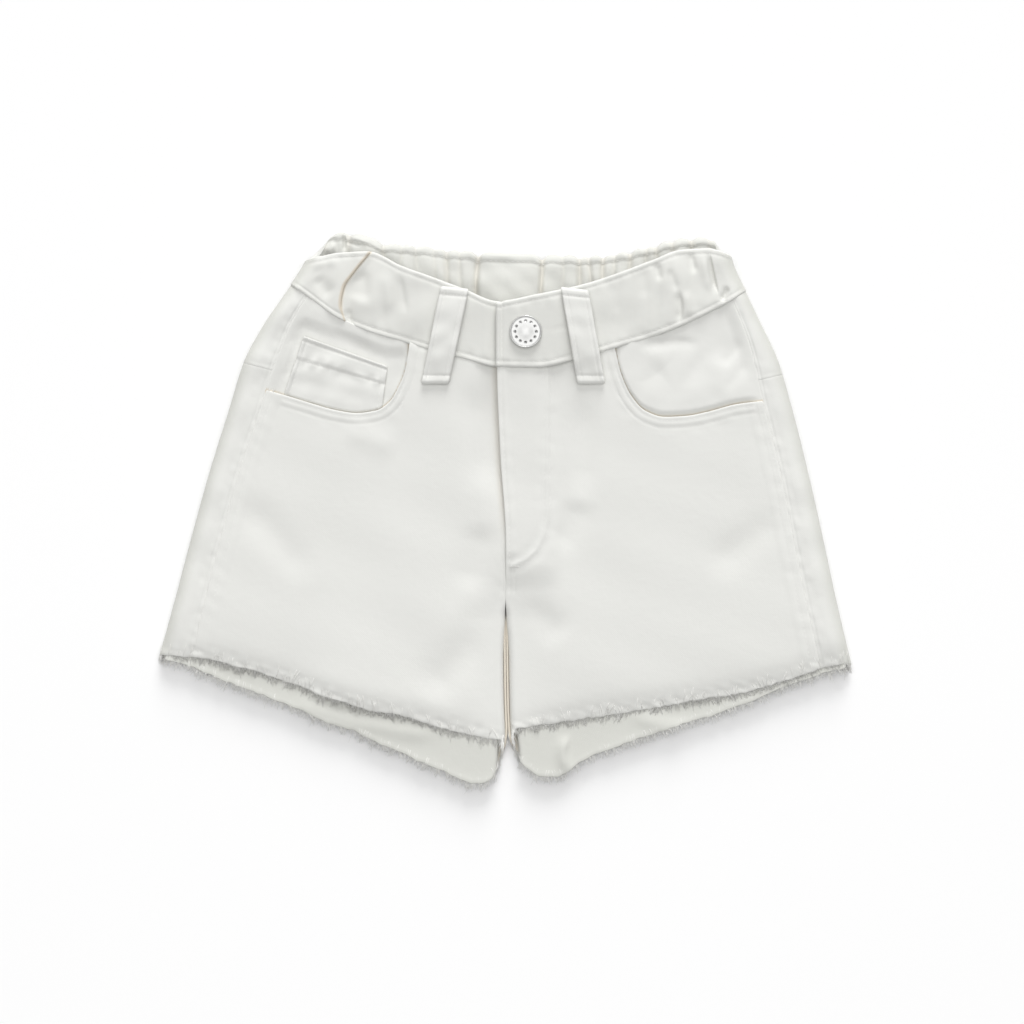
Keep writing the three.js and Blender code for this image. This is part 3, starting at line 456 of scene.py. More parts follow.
def elastic_way(y, v, u):
    r = radius(y)
    start = joint_right(v) + JOINT_LAP
    end = joint_left(v) + SEAM_GAP / 2
    low, high = fold_x(-1, y) + r, fold_x(1, y) - r
    level_low, level_high = fold_x(-1, y) + shoulder(y), fold_x(1, y) - shoulder(y)
    quarter = math.pi / 2
    return choose(
        [u < 1, u < 2, u < 3, u < 4, u >= 4],
        [on_front(mix(start, level_low, np.clip(u, 0, 1)), y),
         side_turn(-1, y, np.clip(quarter - (u - 1) * math.pi, -quarter, quarter)),
         on_back(mix(low, high, np.clip(u - 2, 0, 1)), y),
         side_turn(1, y, np.clip(-quarter + (u - 3) * math.pi, -quarter, quarter)),
         on_front(mix(level_high, end, np.clip(u - 4, 0, 1)), y)],
    )


def settle(way, level, first, passes=40):
    """The level at which a way meets the line that `level` gives for the place reached."""
    y = first
    place = way(y)
    for _ in range(passes):
        y = mix(y, level(place), 0.7)
        place = way(y)
    return place


def steps(rows):
    """Places from 0 to 1 down a grid, as a column."""
    return np.linspace(0, 1, rows)[:, None]


def stretches(*counts):
    """Places along a way: so many columns in each of its stretches."""
    return np.concatenate([[0.0]] + [k + np.arange(1, n + 1) / n for k, n in enumerate(counts)])


# ---- rows of stitches ----
def walk(points):
    """How far along a line each of its points is."""
    return np.concatenate([[0], np.cumsum(np.linalg.norm(np.diff(points, axis=0), axis=1))])


def sample(spots, walked, values):
    """What a line's points carry, at these distances along it."""
    return np.stack([np.interp(spots, walked, column) for column in values.T], -1)


def arc(points, step):
    """The same line again, with its points at even distances."""
    points = np.asarray(points, float)
    walked = walk(points)
    return sample(np.linspace(0, walked[-1], max(2, int(walked[-1] / step) + 1)), walked, points)


def beside(points, gap):
    """A line beside this one, to the left of the way it runs where gap is above 0."""
    points = arc(points, 2.0)
    along = np.gradient(points[:, :2], axis=0)
    along /= np.linalg.norm(along, axis=1, keepdims=True)
    return points + gap * np.stack([-along[:, 1], along[:, 0]], 1)


def scoop_line(side):
    """The mouth of a pocket, from the side seam to the waist seam."""
    ends = {-1: (-118.0, -51.9), 1: (131.0, 57.0)}[side]
    x = np.linspace(*ends, 90)
    y = read(SCOOP[side], "x", "y", x)
    keep = (y < front_waist(x) - 0.5) & (side * x < side * seam_x(side, y) - 0.5)
    return np.stack([x[keep], y[keep]], 1)


def upright(x_of, low, high, count=60):
    """A line up the cloth, at the x that x_of gives for each y."""
    y = np.linspace(low, high, count)
    return np.stack([x_of(y), y], 1)


FLY_STITCH = [
    (22.6, 75.5), (22.7, 40), (22.5, 15), (22.7, -2), (20.8, -12), (16.6, -20.5), (10.4, -26.2), (3.2, -29.2),
]


def panel_rows(side, low, high):
    """The stitch rows that both fronts have: two along the pocket mouth and two along the side seam."""
    mouth = scoop_line(side)
    rows = [beside(mouth, side * inset) for inset in (1.7, 5.4)]
    return rows + [upright(lambda y: seam_x(side, y) - side * inset, low, high) for inset in (1.7, 4.2)]


PANEL_ROWS = {
    -1: [*panel_rows(-1, -74, 66), upright(lambda y: centre_x(y) - 1.9, -42, -25)],
    1: [
        *panel_rows(1, -76, 58),
        upright(lambda y: centre_x(y) + 1.9, -42, 76),
        upright(lambda y: centre_x(y) + 4.6, -42, -29),
        FLY_STITCH, beside(FLY_STITCH, -2.9),
    ],
}


def near_rows(rows, x, y, reach=9.0):
    """The distance of each place from the nearest of these lines, where it is below reach."""
    best = np.full(x.shape, reach)
    flat_x, flat_y = x.ravel(), y.ravel()
    out = best.ravel()
    for row in rows:
        row = arc(row, 3.0)
        low, high = row.min(0) - reach, row.max(0) + reach
        in_x, in_y = (flat_x > low[0]) & (flat_x < high[0]), (flat_y > low[1]) & (flat_y < high[1])
        inside = np.flatnonzero(in_x & in_y)
        if len(inside):
            off, _ = along_line(row, flat_x[inside], flat_y[inside])
            out[inside] = np.minimum(out[inside], np.abs(off))
    return out.reshape(x.shape)


GROOVE = {"depth": 0.24, "width": 0.7}
PUCKER = {"depth": 0.07, "scale": 9.0, "reach": 5.0}


def sewn(rows, x, y, seed=5):
    """How the cloth is drawn in along its stitches, and puckers beside them."""
    off = near_rows(rows, x, y)
    pucker = PUCKER["depth"] * waves(x, y, PUCKER["scale"], seed) * bell(off, PUCKER["reach"])
    return pucker - GROOVE["depth"] * bell(off, GROOVE["width"])


# ---- meshes ----
RIM = 3  # loops of points round the rim of a wall
PLAIN = (np.zeros(1), np.zeros(1))  # neither face of a wall is dimmed


def shell(name, outer, inner, material, tint=None, dim=PLAIN):
    """A closed thin wall from two grids of points, with its rims rounded.

    tint is how much painted shade each place takes; dim darkens each place of the outer and the inner face,
    with painted shade at the side folds and inside, and evenly on the band fronts.
    """
    rows, columns = outer.shape[:2]
    count = rows * columns
    index = np.arange(count).reshape(rows, columns)
    rim = np.concatenate([index[0, :-1], index[:-1, -1], index[-1, :0:-1], index[:0:-1, 0]])
    edge = np.zeros_like(outer)
    edge[0], edge[-1] = outer[0] - outer[1], outer[-1] - outer[-2]
    edge[1:-1, 0] = outer[1:-1, 0] - outer[1:-1, 1]
    edge[1:-1, -1] = outer[1:-1, -1] - outer[1:-1, -2]
    away = edge.reshape(-1, 3)[rim]
    away /= np.maximum(np.linalg.norm(away, axis=1, keepdims=True), 1e-9)
    top, low = outer.reshape(-1, 3)[rim], inner.reshape(-1, 3)[rim]
    bulge = 0.38 * np.linalg.norm(top - low, axis=1, keepdims=True)
    loops = []
    for k in range(1, RIM + 1):
        angle = math.pi * k / (RIM + 1)
        loops.append(mix(top, low, (1 - math.cos(angle)) / 2) + away * bulge * math.sin(angle))
    points = np.concatenate([outer.reshape(-1, 3), inner.reshape(-1, 3), *loops])
    a, b = index[:-1, :-1].ravel(), index[1:, :-1].ravel()
    c, d = index[1:, 1:].ravel(), index[:-1, 1:].ravel()
    faces = [np.stack([a, b, c, d], 1), np.stack([a, d, c, b], 1) + count]
    n = len(rim)
    rings = [rim] + [2 * count + k * n + np.arange(n) for k in range(RIM)] + [rim + count]
    for one, two in zip(rings[:-1], rings[1:]):
        faces.append(np.stack([one, np.roll(one, -1), np.roll(two, -1), two], 1))
    faces = np.concatenate(faces)
    p = points[faces]
    volume = np.einsum("ij,ij->i", p[:, 0], np.cross(p[:, 1], p[:, 2])).sum()
    volume += np.einsum("ij,ij->i", p[:, 0], np.cross(p[:, 2], p[:, 3])).sum()
    if volume < 0:
        faces = faces[:, ::-1]
    step = np.diff(outer, axis=1, prepend=outer[:, :1])
    run = np.cumsum(np.hypot(step[..., 0], step[..., 2]), axis=1)
    sign = 1 if outer[0, 1, 0] >= outer[0, 0, 0] else -1
    spread = np.stack([outer[:, :1, 0] + sign * run, outer[..., 1]], -1).reshape(-1, 2)
    uv = np.concatenate([spread, spread] + [spread[rim]] * RIM)
    obj = mesh_piece(name, points, faces, material, uv)
    shade = np.zeros(count) if tint is None else np.clip(tint, 0, 1).ravel()
    paint(obj, "crease", np.concatenate([shade, shade] + [shade[rim]] * RIM))
    outside, inside = (np.zeros(count) + np.clip(part, 0, 1).ravel() for part in dim)
    paint(obj, "dim_and_painted_shade", np.concatenate([outside, inside] + [inside[rim]] * RIM))
    return obj


def mesh_piece(name, points, faces, material, uv=None):
    """A smooth mesh from points in millimetres. uv is in millimetres along the cloth."""
    faces = np.ascontiguousarray(faces, np.int32)
    sides = faces.shape[1]
    mesh = bpy.data.meshes.new(name)
    mesh.vertices.add(len(points))
    mesh.vertices.foreach_set("co", (points * MM).astype(np.float32).ravel())
    mesh.loops.add(faces.size)
    mesh.loops.foreach_set("vertex_index", faces.ravel())
    mesh.polygons.add(len(faces))
    mesh.polygons.foreach_set("loop_start", np.arange(0, faces.size, sides, dtype=np.int32))
    mesh.update(calc_edges=True)
    mesh.validate()
    mesh.shade_smooth()
    if uv is not None:
        layer = mesh.uv_layers.new(name="cloth")
        layer.data.foreach_set("uv", (uv[faces.ravel()] * 0.01).astype(np.float32).ravel())
    mesh.materials.append(material)
    return put(name, mesh)


def put(name, data):
    """A new object in the scene, made of this mesh, light or camera."""
    obj = bpy.data.objects.new(name, data)
    bpy.context.scene.collection.objects.link(obj)
    return obj


def paint(obj, name, shade):
    """How much of a shade each point takes, kept as an attribute that the material reads."""
    layer = obj.data.attributes.new(name, "FLOAT", "POINT")
    layer.data.foreach_set("value", shade.astype(np.float32))


def dress(obj, slot, *nodes):
    """obj rides on the garment and stands for these nodes of the frame, which are hidden. slot is not used.
    """
    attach(obj, "root")
    if nodes:
        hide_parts(*nodes)


def cloth(name, faces, node, tint=None, dim=PLAIN, slot="twill"):
    """A piece of cloth from the two faces of its wall."""
    outer, inner = faces
    obj = shell(name, outer, inner, FINISH[slot], tint, dim)
    dress(obj, slot, node)


def wall(place, thick, rise, inner_rise=0.0):
    """The two faces of a wall of cloth at these places. inner_rise moves the inner face outwards."""
    return place.out(rise), place.out(rise - thick + inner_rise)


class Threads:
    """Many short threads in one mesh: each is a thin tube along a few points."""

    def __init__(self, sides):
        self.sides = sides
        self.points, self.faces, self.count = [], [], 0

    def add(self, centres, radii, ups):
        """centres are (threads, rings, 3), radii (rings,) or (threads, rings), ups (threads, 3)."""
        threads, rings = centres.shape[:2]
        along = np.gradient(centres, axis=1)
        along /= np.maximum(np.linalg.norm(along, axis=2, keepdims=True), 1e-9)
        across = np.cross(along, ups[:, None, :])
        across /= np.maximum(np.linalg.norm(across, axis=2, keepdims=True), 1e-9)
        over = np.cross(across, along)
        turn = np.arange(self.sides) * 2 * math.pi / self.sides
        reach = np.broadcast_to(radii, (threads, rings))[..., None, None]
        ring = across[:, :, None] * np.cos(turn)[:, None] + over[:, :, None] * np.sin(turn)[:, None]
        body = centres[:, :, None] + ring * reach
        caps = np.stack([centres[:, 0], centres[:, -1]], 1)
        caps = caps + np.stack([-along[:, 0], along[:, -1]], 1) * reach[:, [0, -1], 0] * 0.7
        block = np.concatenate([body.reshape(threads, -1, 3), caps], 1)
        s, size = self.sides, rings * self.sides + 2
        tris = []
        for k in range(rings - 1):
            for j in range(s):
                a, b = k * s + j, k * s + (j + 1) % s
                tris += [(a, b, b + s), (a, b + s, a + s)]
        for j in range(s):
            tris.append((size - 2, (j + 1) % s, j))
            tris.append((size - 1, (rings - 1) * s + j, (rings - 1) * s + (j + 1) % s))
        tris = np.array(tris)[None] + (self.count + np.arange(threads) * size)[:, None, None]
        self.points.append(block.reshape(-1, 3))
        self.faces.append(tris.reshape(-1, 3))
        self.count += threads * size

    def make(self, name, material):
        return mesh_piece(name, np.concatenate(self.points), np.concatenate(self.faces), material)


STITCH = {"pitch": 2.9, "length": 2.25, "radius": 0.23, "sink": 0.1}
sewing = Threads(4)


def sew(points, ups=None, pitch=STITCH["pitch"], length=STITCH["length"]):
    """A row of stitches along points in space. ups is the way out of the cloth at each point."""
    points = np.asarray(points, float)
    walked = walk(points)
    count = int(walked[-1] / pitch)
    if count < 1:
        return
    starts = (np.arange(count) + 0.5) * walked[-1] / count
    share = np.array([-0.5, -0.26, 0.26, 0.5]) * length
    centres = sample(starts[:, None] + share, walked, points)
    if ups is None:
        way = np.zeros((count, 3))
        way[:, 2] = 1
    else:
        way = sample(starts, walked, ups)
        way /= np.linalg.norm(way, axis=1, keepdims=True)
    lifts = np.array([-0.22, 0.0, 0.0, -0.22]) - STITCH["sink"]
    centres = centres + way[:, None] * lifts[:, None]
    sewing.add(centres, np.array([0.5, 1, 1, 0.5]) * STITCH["radius"], way)


def sew_on(side, row):
    """A row of stitches along a line on a front panel."""
    row = arc(row, 1.2)
    sew(np.column_stack([row, panel_level(side, row[:, 0], row[:, 1])]))


BARTACK = {"x": 3.8, "y": -28.6, "width": 4.6, "pitch": 0.62, "half": 0.85, "stitch": 1.7, "rise": 0.12}


def bartack():
    """A short bar of close stitches across the foot of the fly."""
    size = BARTACK
    low, high = size["y"] - size["half"], size["y"] + size["half"]
    for k in np.arange(-size["width"] / 2, size["width"] / 2 + 0.01, size["pitch"]):
        line = arc([[size["x"] + k, low], [size["x"] + k, high]], 0.8)
        height = panel_level(1, line[:, 0], line[:, 1]) + size["rise"]
        sew(np.column_stack([line, height]), pitch=size["stitch"], length=size["stitch"])


# ---- panels ----
def fly_lift(x, y):
    zone = ease(FLY["bottom"] - 18, FLY["bottom"] - 2, y)
    return (TWILL + LAYER_GAP) * zone * ease(FLY["reach"], FLY["flat"], x - centre_x(y))


def fly_underlap(y):
    return FLY["underlap"] * ease(FLY["bottom"], FLY["bottom"] + 18, y)


def front_top_edge(side, x):
    waist = front_waist(x) - HALF_GAP
    in_mouth = side * x > side * MOUTH_END[side]
    return np.where(in_mouth, np.minimum(waist, read(SCOOP[side], "x", "y", x)), waist)


def panel_relief(side, x, y):
    """The low relief of a front panel: its sewn lines, seam allowances, pocket edge and worn hem."""
    relief = sewn(PANEL_ROWS[side], x, y, 11 + side)
    from_seam = side * (seam_x(side, y) - x)
    relief = relief + 0.22 * ease(10, 7, from_seam) - 0.3 * ease(0.9, 0, from_seam)
    off = near_rows([scoop_line(side)], x, y, 12.0)
    relief = relief + 0.42 * ease(8, 1.5, off)
    below_waist = front_waist(x) - y
    relief = relief - 0.3 * ease(2.5, 0, below_waist)
    edge = x - centre_x(y)
    if side > 0:
        relief = relief + 0.5 * ease(6, 3, edge) * ease(FLY["bottom"] - 6, FLY["bottom"] + 4, y)
        between = near_rows([beside(FLY_STITCH, -1.45)], x, y)
        relief = relief + 0.3 * bell(between, 1.1) - 0.25 * bell(between - 3.4, 1.6)
    else:
        relief = relief - fly_hollow(x, y)
    return relief + hem_relief(x, y)


def fly_hollow(x, y):
    """How far the right front sinks where it runs in under the left one."""
    across = ease(-FLY["underlap"] - 7, -1, x - centre_x(y))
    return (1.0 + 2.4 * ease(0, 60, y)) * across * ease(FLY["bottom"] - 10, 20, y)


def hem_relief(x, y):
    """The cut edge drops towards the back, and is uneven where its threads come loose."""
    above_hem = y - front_hem(x)
    curl = -1.1 * bell(above_hem, 7.0) * mix(0.5, 1, ease(6, 32, np.abs(x)))
    frayed = 0.3 * waves(x, y, 5.0, 21) * bell(above_hem, 5.0)
    return curl + frayed


def panel_lift(side, x, y):
    return fly_lift(x, y) if side > 0 else 0 * x


def panel_level(side, x, y):
    return front_z(x, y) + panel_lift(side, x, y) + panel_relief(side, x, y)


HEM_START = -100.0  # about where the hems lie


def wavy_hem(line, seed):
    return lambda x: line(x) + 0.35 * waves(x, 0 * x, 6.0, seed) + 0.5 * waves(x, 0 * x, 23.0, seed + 1)


def front_panel(side):
    """Places on the outer face of a front panel, as a grid from its top edge to its hem, and how far that
    face rises off them.
    """
    def way(y, u):
        extra = fly_underlap(y) if side < 0 else 0.0
        return front_way(side, y, u, seam_x(side, y) - side * HALF_GAP, extra)

    def top_at(u):
        return settle(lambda y: way(y, u), lambda p: front_top_edge(side, p.x), np.full(np.shape(u), 75.0))

    mouth = settle(lambda y: way(y, 0.0), lambda p: read(SCOOP[side], "x", "y", p.x), 60.0)
    stop = top_at(1.0)
    x = np.linspace(float(mouth.x), float(stop.x), 4001)
    top = front_top_edge(side, x)
    walked = np.concatenate([[0], np.cumsum(np.hypot(np.diff(x), np.diff(top)))])
    spots = np.linspace(0, walked[-1], CELLS["front"])
    x, top = np.interp(spots, walked, x), np.interp(spots, walked, top)
    start, end = way(top, 0.0).x, way(top, 1.0).x
    u = np.clip((start - x) / (start - end), 0, 1)
    last = 1 + np.arange(1, CELLS["front_turn"] + 1) / CELLS["front_turn"]
    u = np.concatenate([u, last])
    top = np.concatenate([top, top_at(last).y])
    front, back = wavy_hem(front_hem, 40 + side), wavy_hem(back_hem, 50 + side)
    hem = settle(lambda y: way(y, u), level_of(front, back), np.full(u.shape, HEM_START)).y
    v = steps(CELLS["front_down"])
    place = way(mix(top, hem, v), u + 0 * v)
    return place, panel_lift(side, *place.at) + panel_relief(side, *place.at) * place.top


def back_hem_lift(place):
    """The back's hem stands off the surface, nearly up to the front's."""
    above = np.maximum(place.y - front_hem(place.x), 0)
    edge = np.exp(-np.maximum(place.y - back_hem(place.x), -2) / 3.0)
    return (4.3 + 0.5 * edge) * bell(above, 11.0) * ease(0.9, 1.0, place.back)


INSIDE_FOLDS = named(FOLD, [
    (33, -118, 30, -128, 34, -138, 3.0, 2.0, 0.8),
    (62, -104, 80, -112, 104, -112, 4.0, 0.9, 0),
    (-34, -116, -56, -116, -84, -108, 4.5, 1.0, 0),
    (-66, -116, -92, -108, -120, -98, 3.5, 0.7, 0),
])


def level_of(front, back, gap=0.0):
    """The level of a line that runs across both the front and the back."""
    return lambda p: mix(front(p.x), back(p.x), p.back) + gap


def back_piece(side, upper, lower, columns, rows):
    """A piece of the back between two lines, each with its level on the front and the back, gap and start."""
    def edge(line):
        front, back, gap, first = line
        start = np.full(columns.shape, first)
        return settle(lambda y: back_way(side, y, columns), level_of(front, back, gap), start).y

    v = steps(rows)
    return back_way(side, mix(edge(upper), edge(lower), v), columns + 0 * v)


def side_relief(side, place):
    """The low relief of the back where it shows beside the front panel."""
    from_seam = side * (place.x - seam_x(side, place.y))
    top = place.top
    seam = -0.35 * bell(from_seam, 0.8) - 0.3 * bell(from_seam - 1.7, 0.7)
    pucker = 0.16 * waves(*place.at, 6.0, 31) * bell(from_seam, 6.0)
    soft = 0.35 * waves(*place.at, 30.0, 33)
    return top * (seam + pucker + soft * ease(0, 6, from_seam))


# ---- waistband ----
# Creases of the band's front, as FRONT_FOLDS.
BAND_FOLDS = named(FOLD, [
    (106.5, 137.5, 108.5, 127, 111.3, 114.7, 1.5, -1.9, 0.9),
    (103.4, 137.0, 104.5, 127, 107.4, 115.5, 2.4, 0.9, 0),
    (90.0, 117.5, 91.8, 108, 90.2, 99.4, 2.0, -1.7, 0.8),
    (93.8, 117.5, 95.5, 108, 94.4, 102.0, 2.2, 0.9, 0),
    (84.7, 129.5, 87.5, 122, 90.0, 115.8, 2.2, -1.0, 0),
    (78.2, 132.0, 79.6, 127, 80.6, 121.5, 2.0, -1.1, 0),
    (97.4, 137.8, 97.8, 132, 99.9, 126.0, 2.4, -1.3, 0.4),
    (116.8, 119.6, 115.0, 115, 112.6, 111.0, 1.7, -1.7, 0.4),
    (70.0, 130.0, 71.5, 122, 72.5, 112.0, 3.0, -0.6, 0),
    (56.0, 122.0, 57.0, 114, 58.5, 104.0, 3.6, -0.5, 0),
    (-80.0, 128.0, -76.0, 120, -78.0, 110.0, 6.0, -1.9, 0.3),
    (-68.0, 128.0, -64.0, 119, -63.0, 104.0, 3.4, 0.9, 0),
    (-57.5, 127.0, -55.5, 118, -53.5, 104.0, 2.6, -0.9, 0.5),
    (-101.5, 125.0, -97.0, 119, -92.0, 113.5, 4.0, -1.3, 0),
    (-84.5, 108.0, -83.5, 102, -82.0, 97.5, 2.4, -1.3, 0.2),
    (-106.0, 130.0, -98.0, 131, -88.0, 134.0, 3.0, 0.8, 0),
])
# Tucks in the knot where the elastic is turned over at its end, on its inner face.
KNOT_FOLDS = named(FOLD, [
    (-87.0, 148.0, -86.3, 143.5, -86.4, 138.0, 1.1, -2.0, 0.5),
    (-85.5, 143.6, -81.5, 143.0, -77.4, 141.2, 0.8, -1.2, 0.2),
    (-84.5, 146.6, -78.0, 144.6, -72.6, 142.2, 1.5, 1.1, 0),
    (-98.5, 141.0, -94.0, 144.5, -90.0, 145.2, 1.2, -1.2, 0.4),
    (-97.5, 138.0, -93.5, 140.5, -90.5, 141.6, 2.6, 1.6, 0),
])


def band_level(place, v):
    front = mix(front_waist(place.x) + HALF_GAP, front_top(place.x), v)
    scallop = 0.9 * pleats(place.x)
    back = mix(back_waist(place.x) + HALF_GAP, back_top(place.x) + 0.45 - scallop, v)
    return mix(front, back, place.back)


def pleats(x):
    total = np.zeros(np.shape(x))
    for at, depth, width in zip(PLEATS["x"], PLEATS["depth"], PLEATS["width"]):
        total = total + depth * bell(np.abs(x - at), width)
    return total


def tucks(x, v):
    """Gathers as they show on the band's inner face: narrow valleys, each with its own lean."""
    total = np.zeros(np.broadcast(x, v).shape)
    for k, (at, depth, width) in enumerate(zip(PLEATS["x"], PLEATS["depth"], PLEATS["width"])):
        sway = 1.6 * math.sin(2.4 * k + 0.7) * (v - 0.8) + 0.5 * np.sin(5 * v + k)
        off = np.abs(x - at - sway)
        narrow = np.exp(-((off / (0.42 * width)) ** 1.8))
        broad = bell(off, width)
        total = total + depth * (0.55 * narrow + 0.75 * broad)
    return total


def front_pleats(x):
    return 0.45 * pleats(x) * ease(40, 75, np.abs(x - BUTTON["x"]))


def band_heights(strength=0.72):
    """Places up a band from 0 to 1, closer together near both ends."""
    t = np.linspace(0, 1, CELLS["band_up"])
    return (t - strength * np.sin(2 * math.pi * t) / (2 * math.pi))[:, None]


BAND_INSET = 2.1  # its rows of stitches lie this far from its edges


def band_rows(v, height):
    """The two rows of stitches along a band, as grooves, and its rounded edges."""
    from_low, from_top = v * height, (1 - v) * height
    low = bell(from_low - BAND_INSET, 0.8)
    high = bell(from_top - BAND_INSET, 0.8)
    puff = 0.08 * (bell(from_low - 0.7, 0.9) + bell(from_top - 0.7, 0.9))
    return puff - 0.24 * (low + high)


def band_form(x, y, v, height):
    """The low relief of the band's front."""
    pucker = 0.22 * waves(x, y, 7.5, 61) * (bell(v * height, 5) + np.exp(-(((1 - v) * height / 5) ** 2)))
    soft = 0.45 * waves(x, y, 26.0, 63) * ease(24, 50, np.abs(x - BUTTON["x"]))
    return folds(BAND_FOLDS, x, y) + band_rows(v, height) + pucker + soft


def elastic_band():
    u = stretches(*CELLS["elastic"])
    v = band_heights()
    uu, vv = u + 0 * v, v + 0 * u
    place = settle(lambda y: elastic_way(y, vv, uu), lambda p: band_level(p, vv), np.full(uu.shape, 120.0),
                   passes=26)
    joint = joint_right(vv) + JOINT_LAP
    top_side = (place.oz > 0.99) & (place.back < 0.01)
    on_right = top_side & (place.x < 0)
    lapped = np.where(on_right, 0.5 * ease(20, 5, joint - place.x), 0)
    lip = np.where(on_right, 0.2 * ease(6, 0, joint - place.x) * ease(0, 0.3, vv), 0)
    height = front_top(place.x) - front_waist(place.x)
    form = band_form(*place.at, vv, np.maximum(height, 6)) * place.top ** 2
    front = BAND_PROUD - front_pleats(place.x) + form
    behind = -0.8 * pleats(place.x) * mix(0.75, 1, ease(0, 0.6, vv))
    rise = lapped + lip + mix(front, behind, ease(0.2, 1, place.back))
    full = ease(0.45, 0.95, place.back)
    inner = full * (1.5 * tucks(place.x, vv) - 2.6 - 0.5 * waves(*place.at, 14.0, 71))
    inner = inner - full * 0.3 * bell((1 - vv) * 36 - 1.2, 1.2)
    inner = inner + full * 0.3 * bell((1 - vv) * 36 - 3.1, 0.8)
    inner = inner - full * folds(KNOT_FOLDS, *place.at) * ease(-66, -72, place.x)
    # Painted shade: tan in the gathers of the inner face and along the lap's edge.
    tint = full * np.clip(0.09 * (tucks(place.x, vv) - 0.6), 0, 0.4)
    lap_edge_shade = np.where(on_right, 0.5 * ease(1.2, 0, joint - place.x), 0)
    return place, wall(place, BAND, rise, np.minimum(inner, BAND - 0.6)), tint + lap_edge_shade


def band_rise(side, x):
    overlap = (BAND + LAYER_GAP) * ease(46, LAP_END + 3, x) if side > 0 else 0.0
    return BAND_PROUD + overlap - front_pleats(x)


def joint_hollow(x, v):
    """The fold of the right front band where the elastic laps over it. Under the lap the band drops away."""
    off = x - (joint_right(v) + JOINT_LAP + 0.3)
    along = ease(0.02, 0.2, v) * mix(1, 0.75, ease(0.85, 1, v))
    shown = along * (0.9 * bell(off, 1.2) + 0.8 * bell(off - 4.5, 4.0))
    return shown + BAND * ease(-0.2, -1.8, off)


def plain_band(side):
    v = band_heights()
    u = np.linspace(0, 1, CELLS["band"])
    if side < 0:
        start, end = joint_right(v) + SEAM_GAP, LAP_END
    else:
        start, end = joint_left(v) - VISIBLE_GAP, CENTRE["x"][-1]
    x = mix(start, end, u)
    lap_top = 1.6 * ease(-6, 2, x) if side < 0 else 1.5 * ease(0.0, -4.6, x) * 0.5
    y = mix(front_waist(x) + HALF_GAP, front_top(x) - lap_top, v)
    place = on_front(x, y)
    height = front_top(x) - front_waist(x)
    rise = band_rise(side, place.x) + band_form(*place.at, v + 0 * x, height)
    if side < 0:
        rise = rise - joint_hollow(x, v) - 1.3 * ease(-13, -5, x)
        # Painted shade: a tan line in the fold where the elastic laps over the band.
        tint = 0.55 * bell(x - joint_right(v) - JOINT_LAP - 0.4, 0.9) * ease(0.02, 0.2, v)
    else:
        from_edge = x - CENTRE["x"][-1]
        rise = rise - 0.5 * bell(from_edge - 2.1, 0.8) + 0.35 * bell(from_edge - 0.7, 0.9)
        rise = rise - 0.45 * button_pull(*place.at)
        tint = 0 * x
    return place, wall(place, BAND, rise), tint


def button_pull(x, y):
    """The cloth dips round the button, with a faint line to the end of its hole."""
    off = np.hypot(x - BUTTON["x"], y - BUTTON["y"])
    hole, _ = along_line([(19.0, 96.4), (31.0, 97.8)], x, y)
    return 0.3 * np.exp(-((off / 9.0) ** 4)) + 0.8 * bell(hole, 0.6)


# ---- small pieces ----
def patch(top, foot, columns, rows):
    u = np.linspace(0, 1, columns)
    v = steps(rows)
    x = mix(mix(top[0][0], top[1][0], u), mix(foot[0][0], foot[1][0], u), v)
    y = mix(mix(top[0][1], top[1][1], u), mix(foot[0][1], foot[1][1], u), v)
    return on_front(x, y), u + 0 * v, v + 0 * u


# Folds of the cloth in the mouths of the pockets, as FRONT_FOLDS.
FACING_FOLDS = named(FOLD, [
    (68, 86.5, 86, 90.5, 103, 88.0, 3.2, -1.5, 0.2),
    (76, 76, 88, 82, 102, 78, 9.0, 1.5, 0),
    (126, 92, 119, 84, 112.5, 76.0, 3.4, -0.9, 0.2),
    (131, 80, 122, 73, 116.0, 62.0, 3.4, -0.7, 0),
    (106, 84, 112, 72, 108, 60, 5.0, 0.8, 0),
    (-113.5, 92, -116.5, 84, -119, 72, 2.2, 1.1, 0),
    (-113.0, 66, -111.0, 76, -108.5, 87.0, 1.2, -1.1, 0),
    (-95, 95.0, -82, 91.5, -70, 84.0, 3.0, -1.0, 0),
])


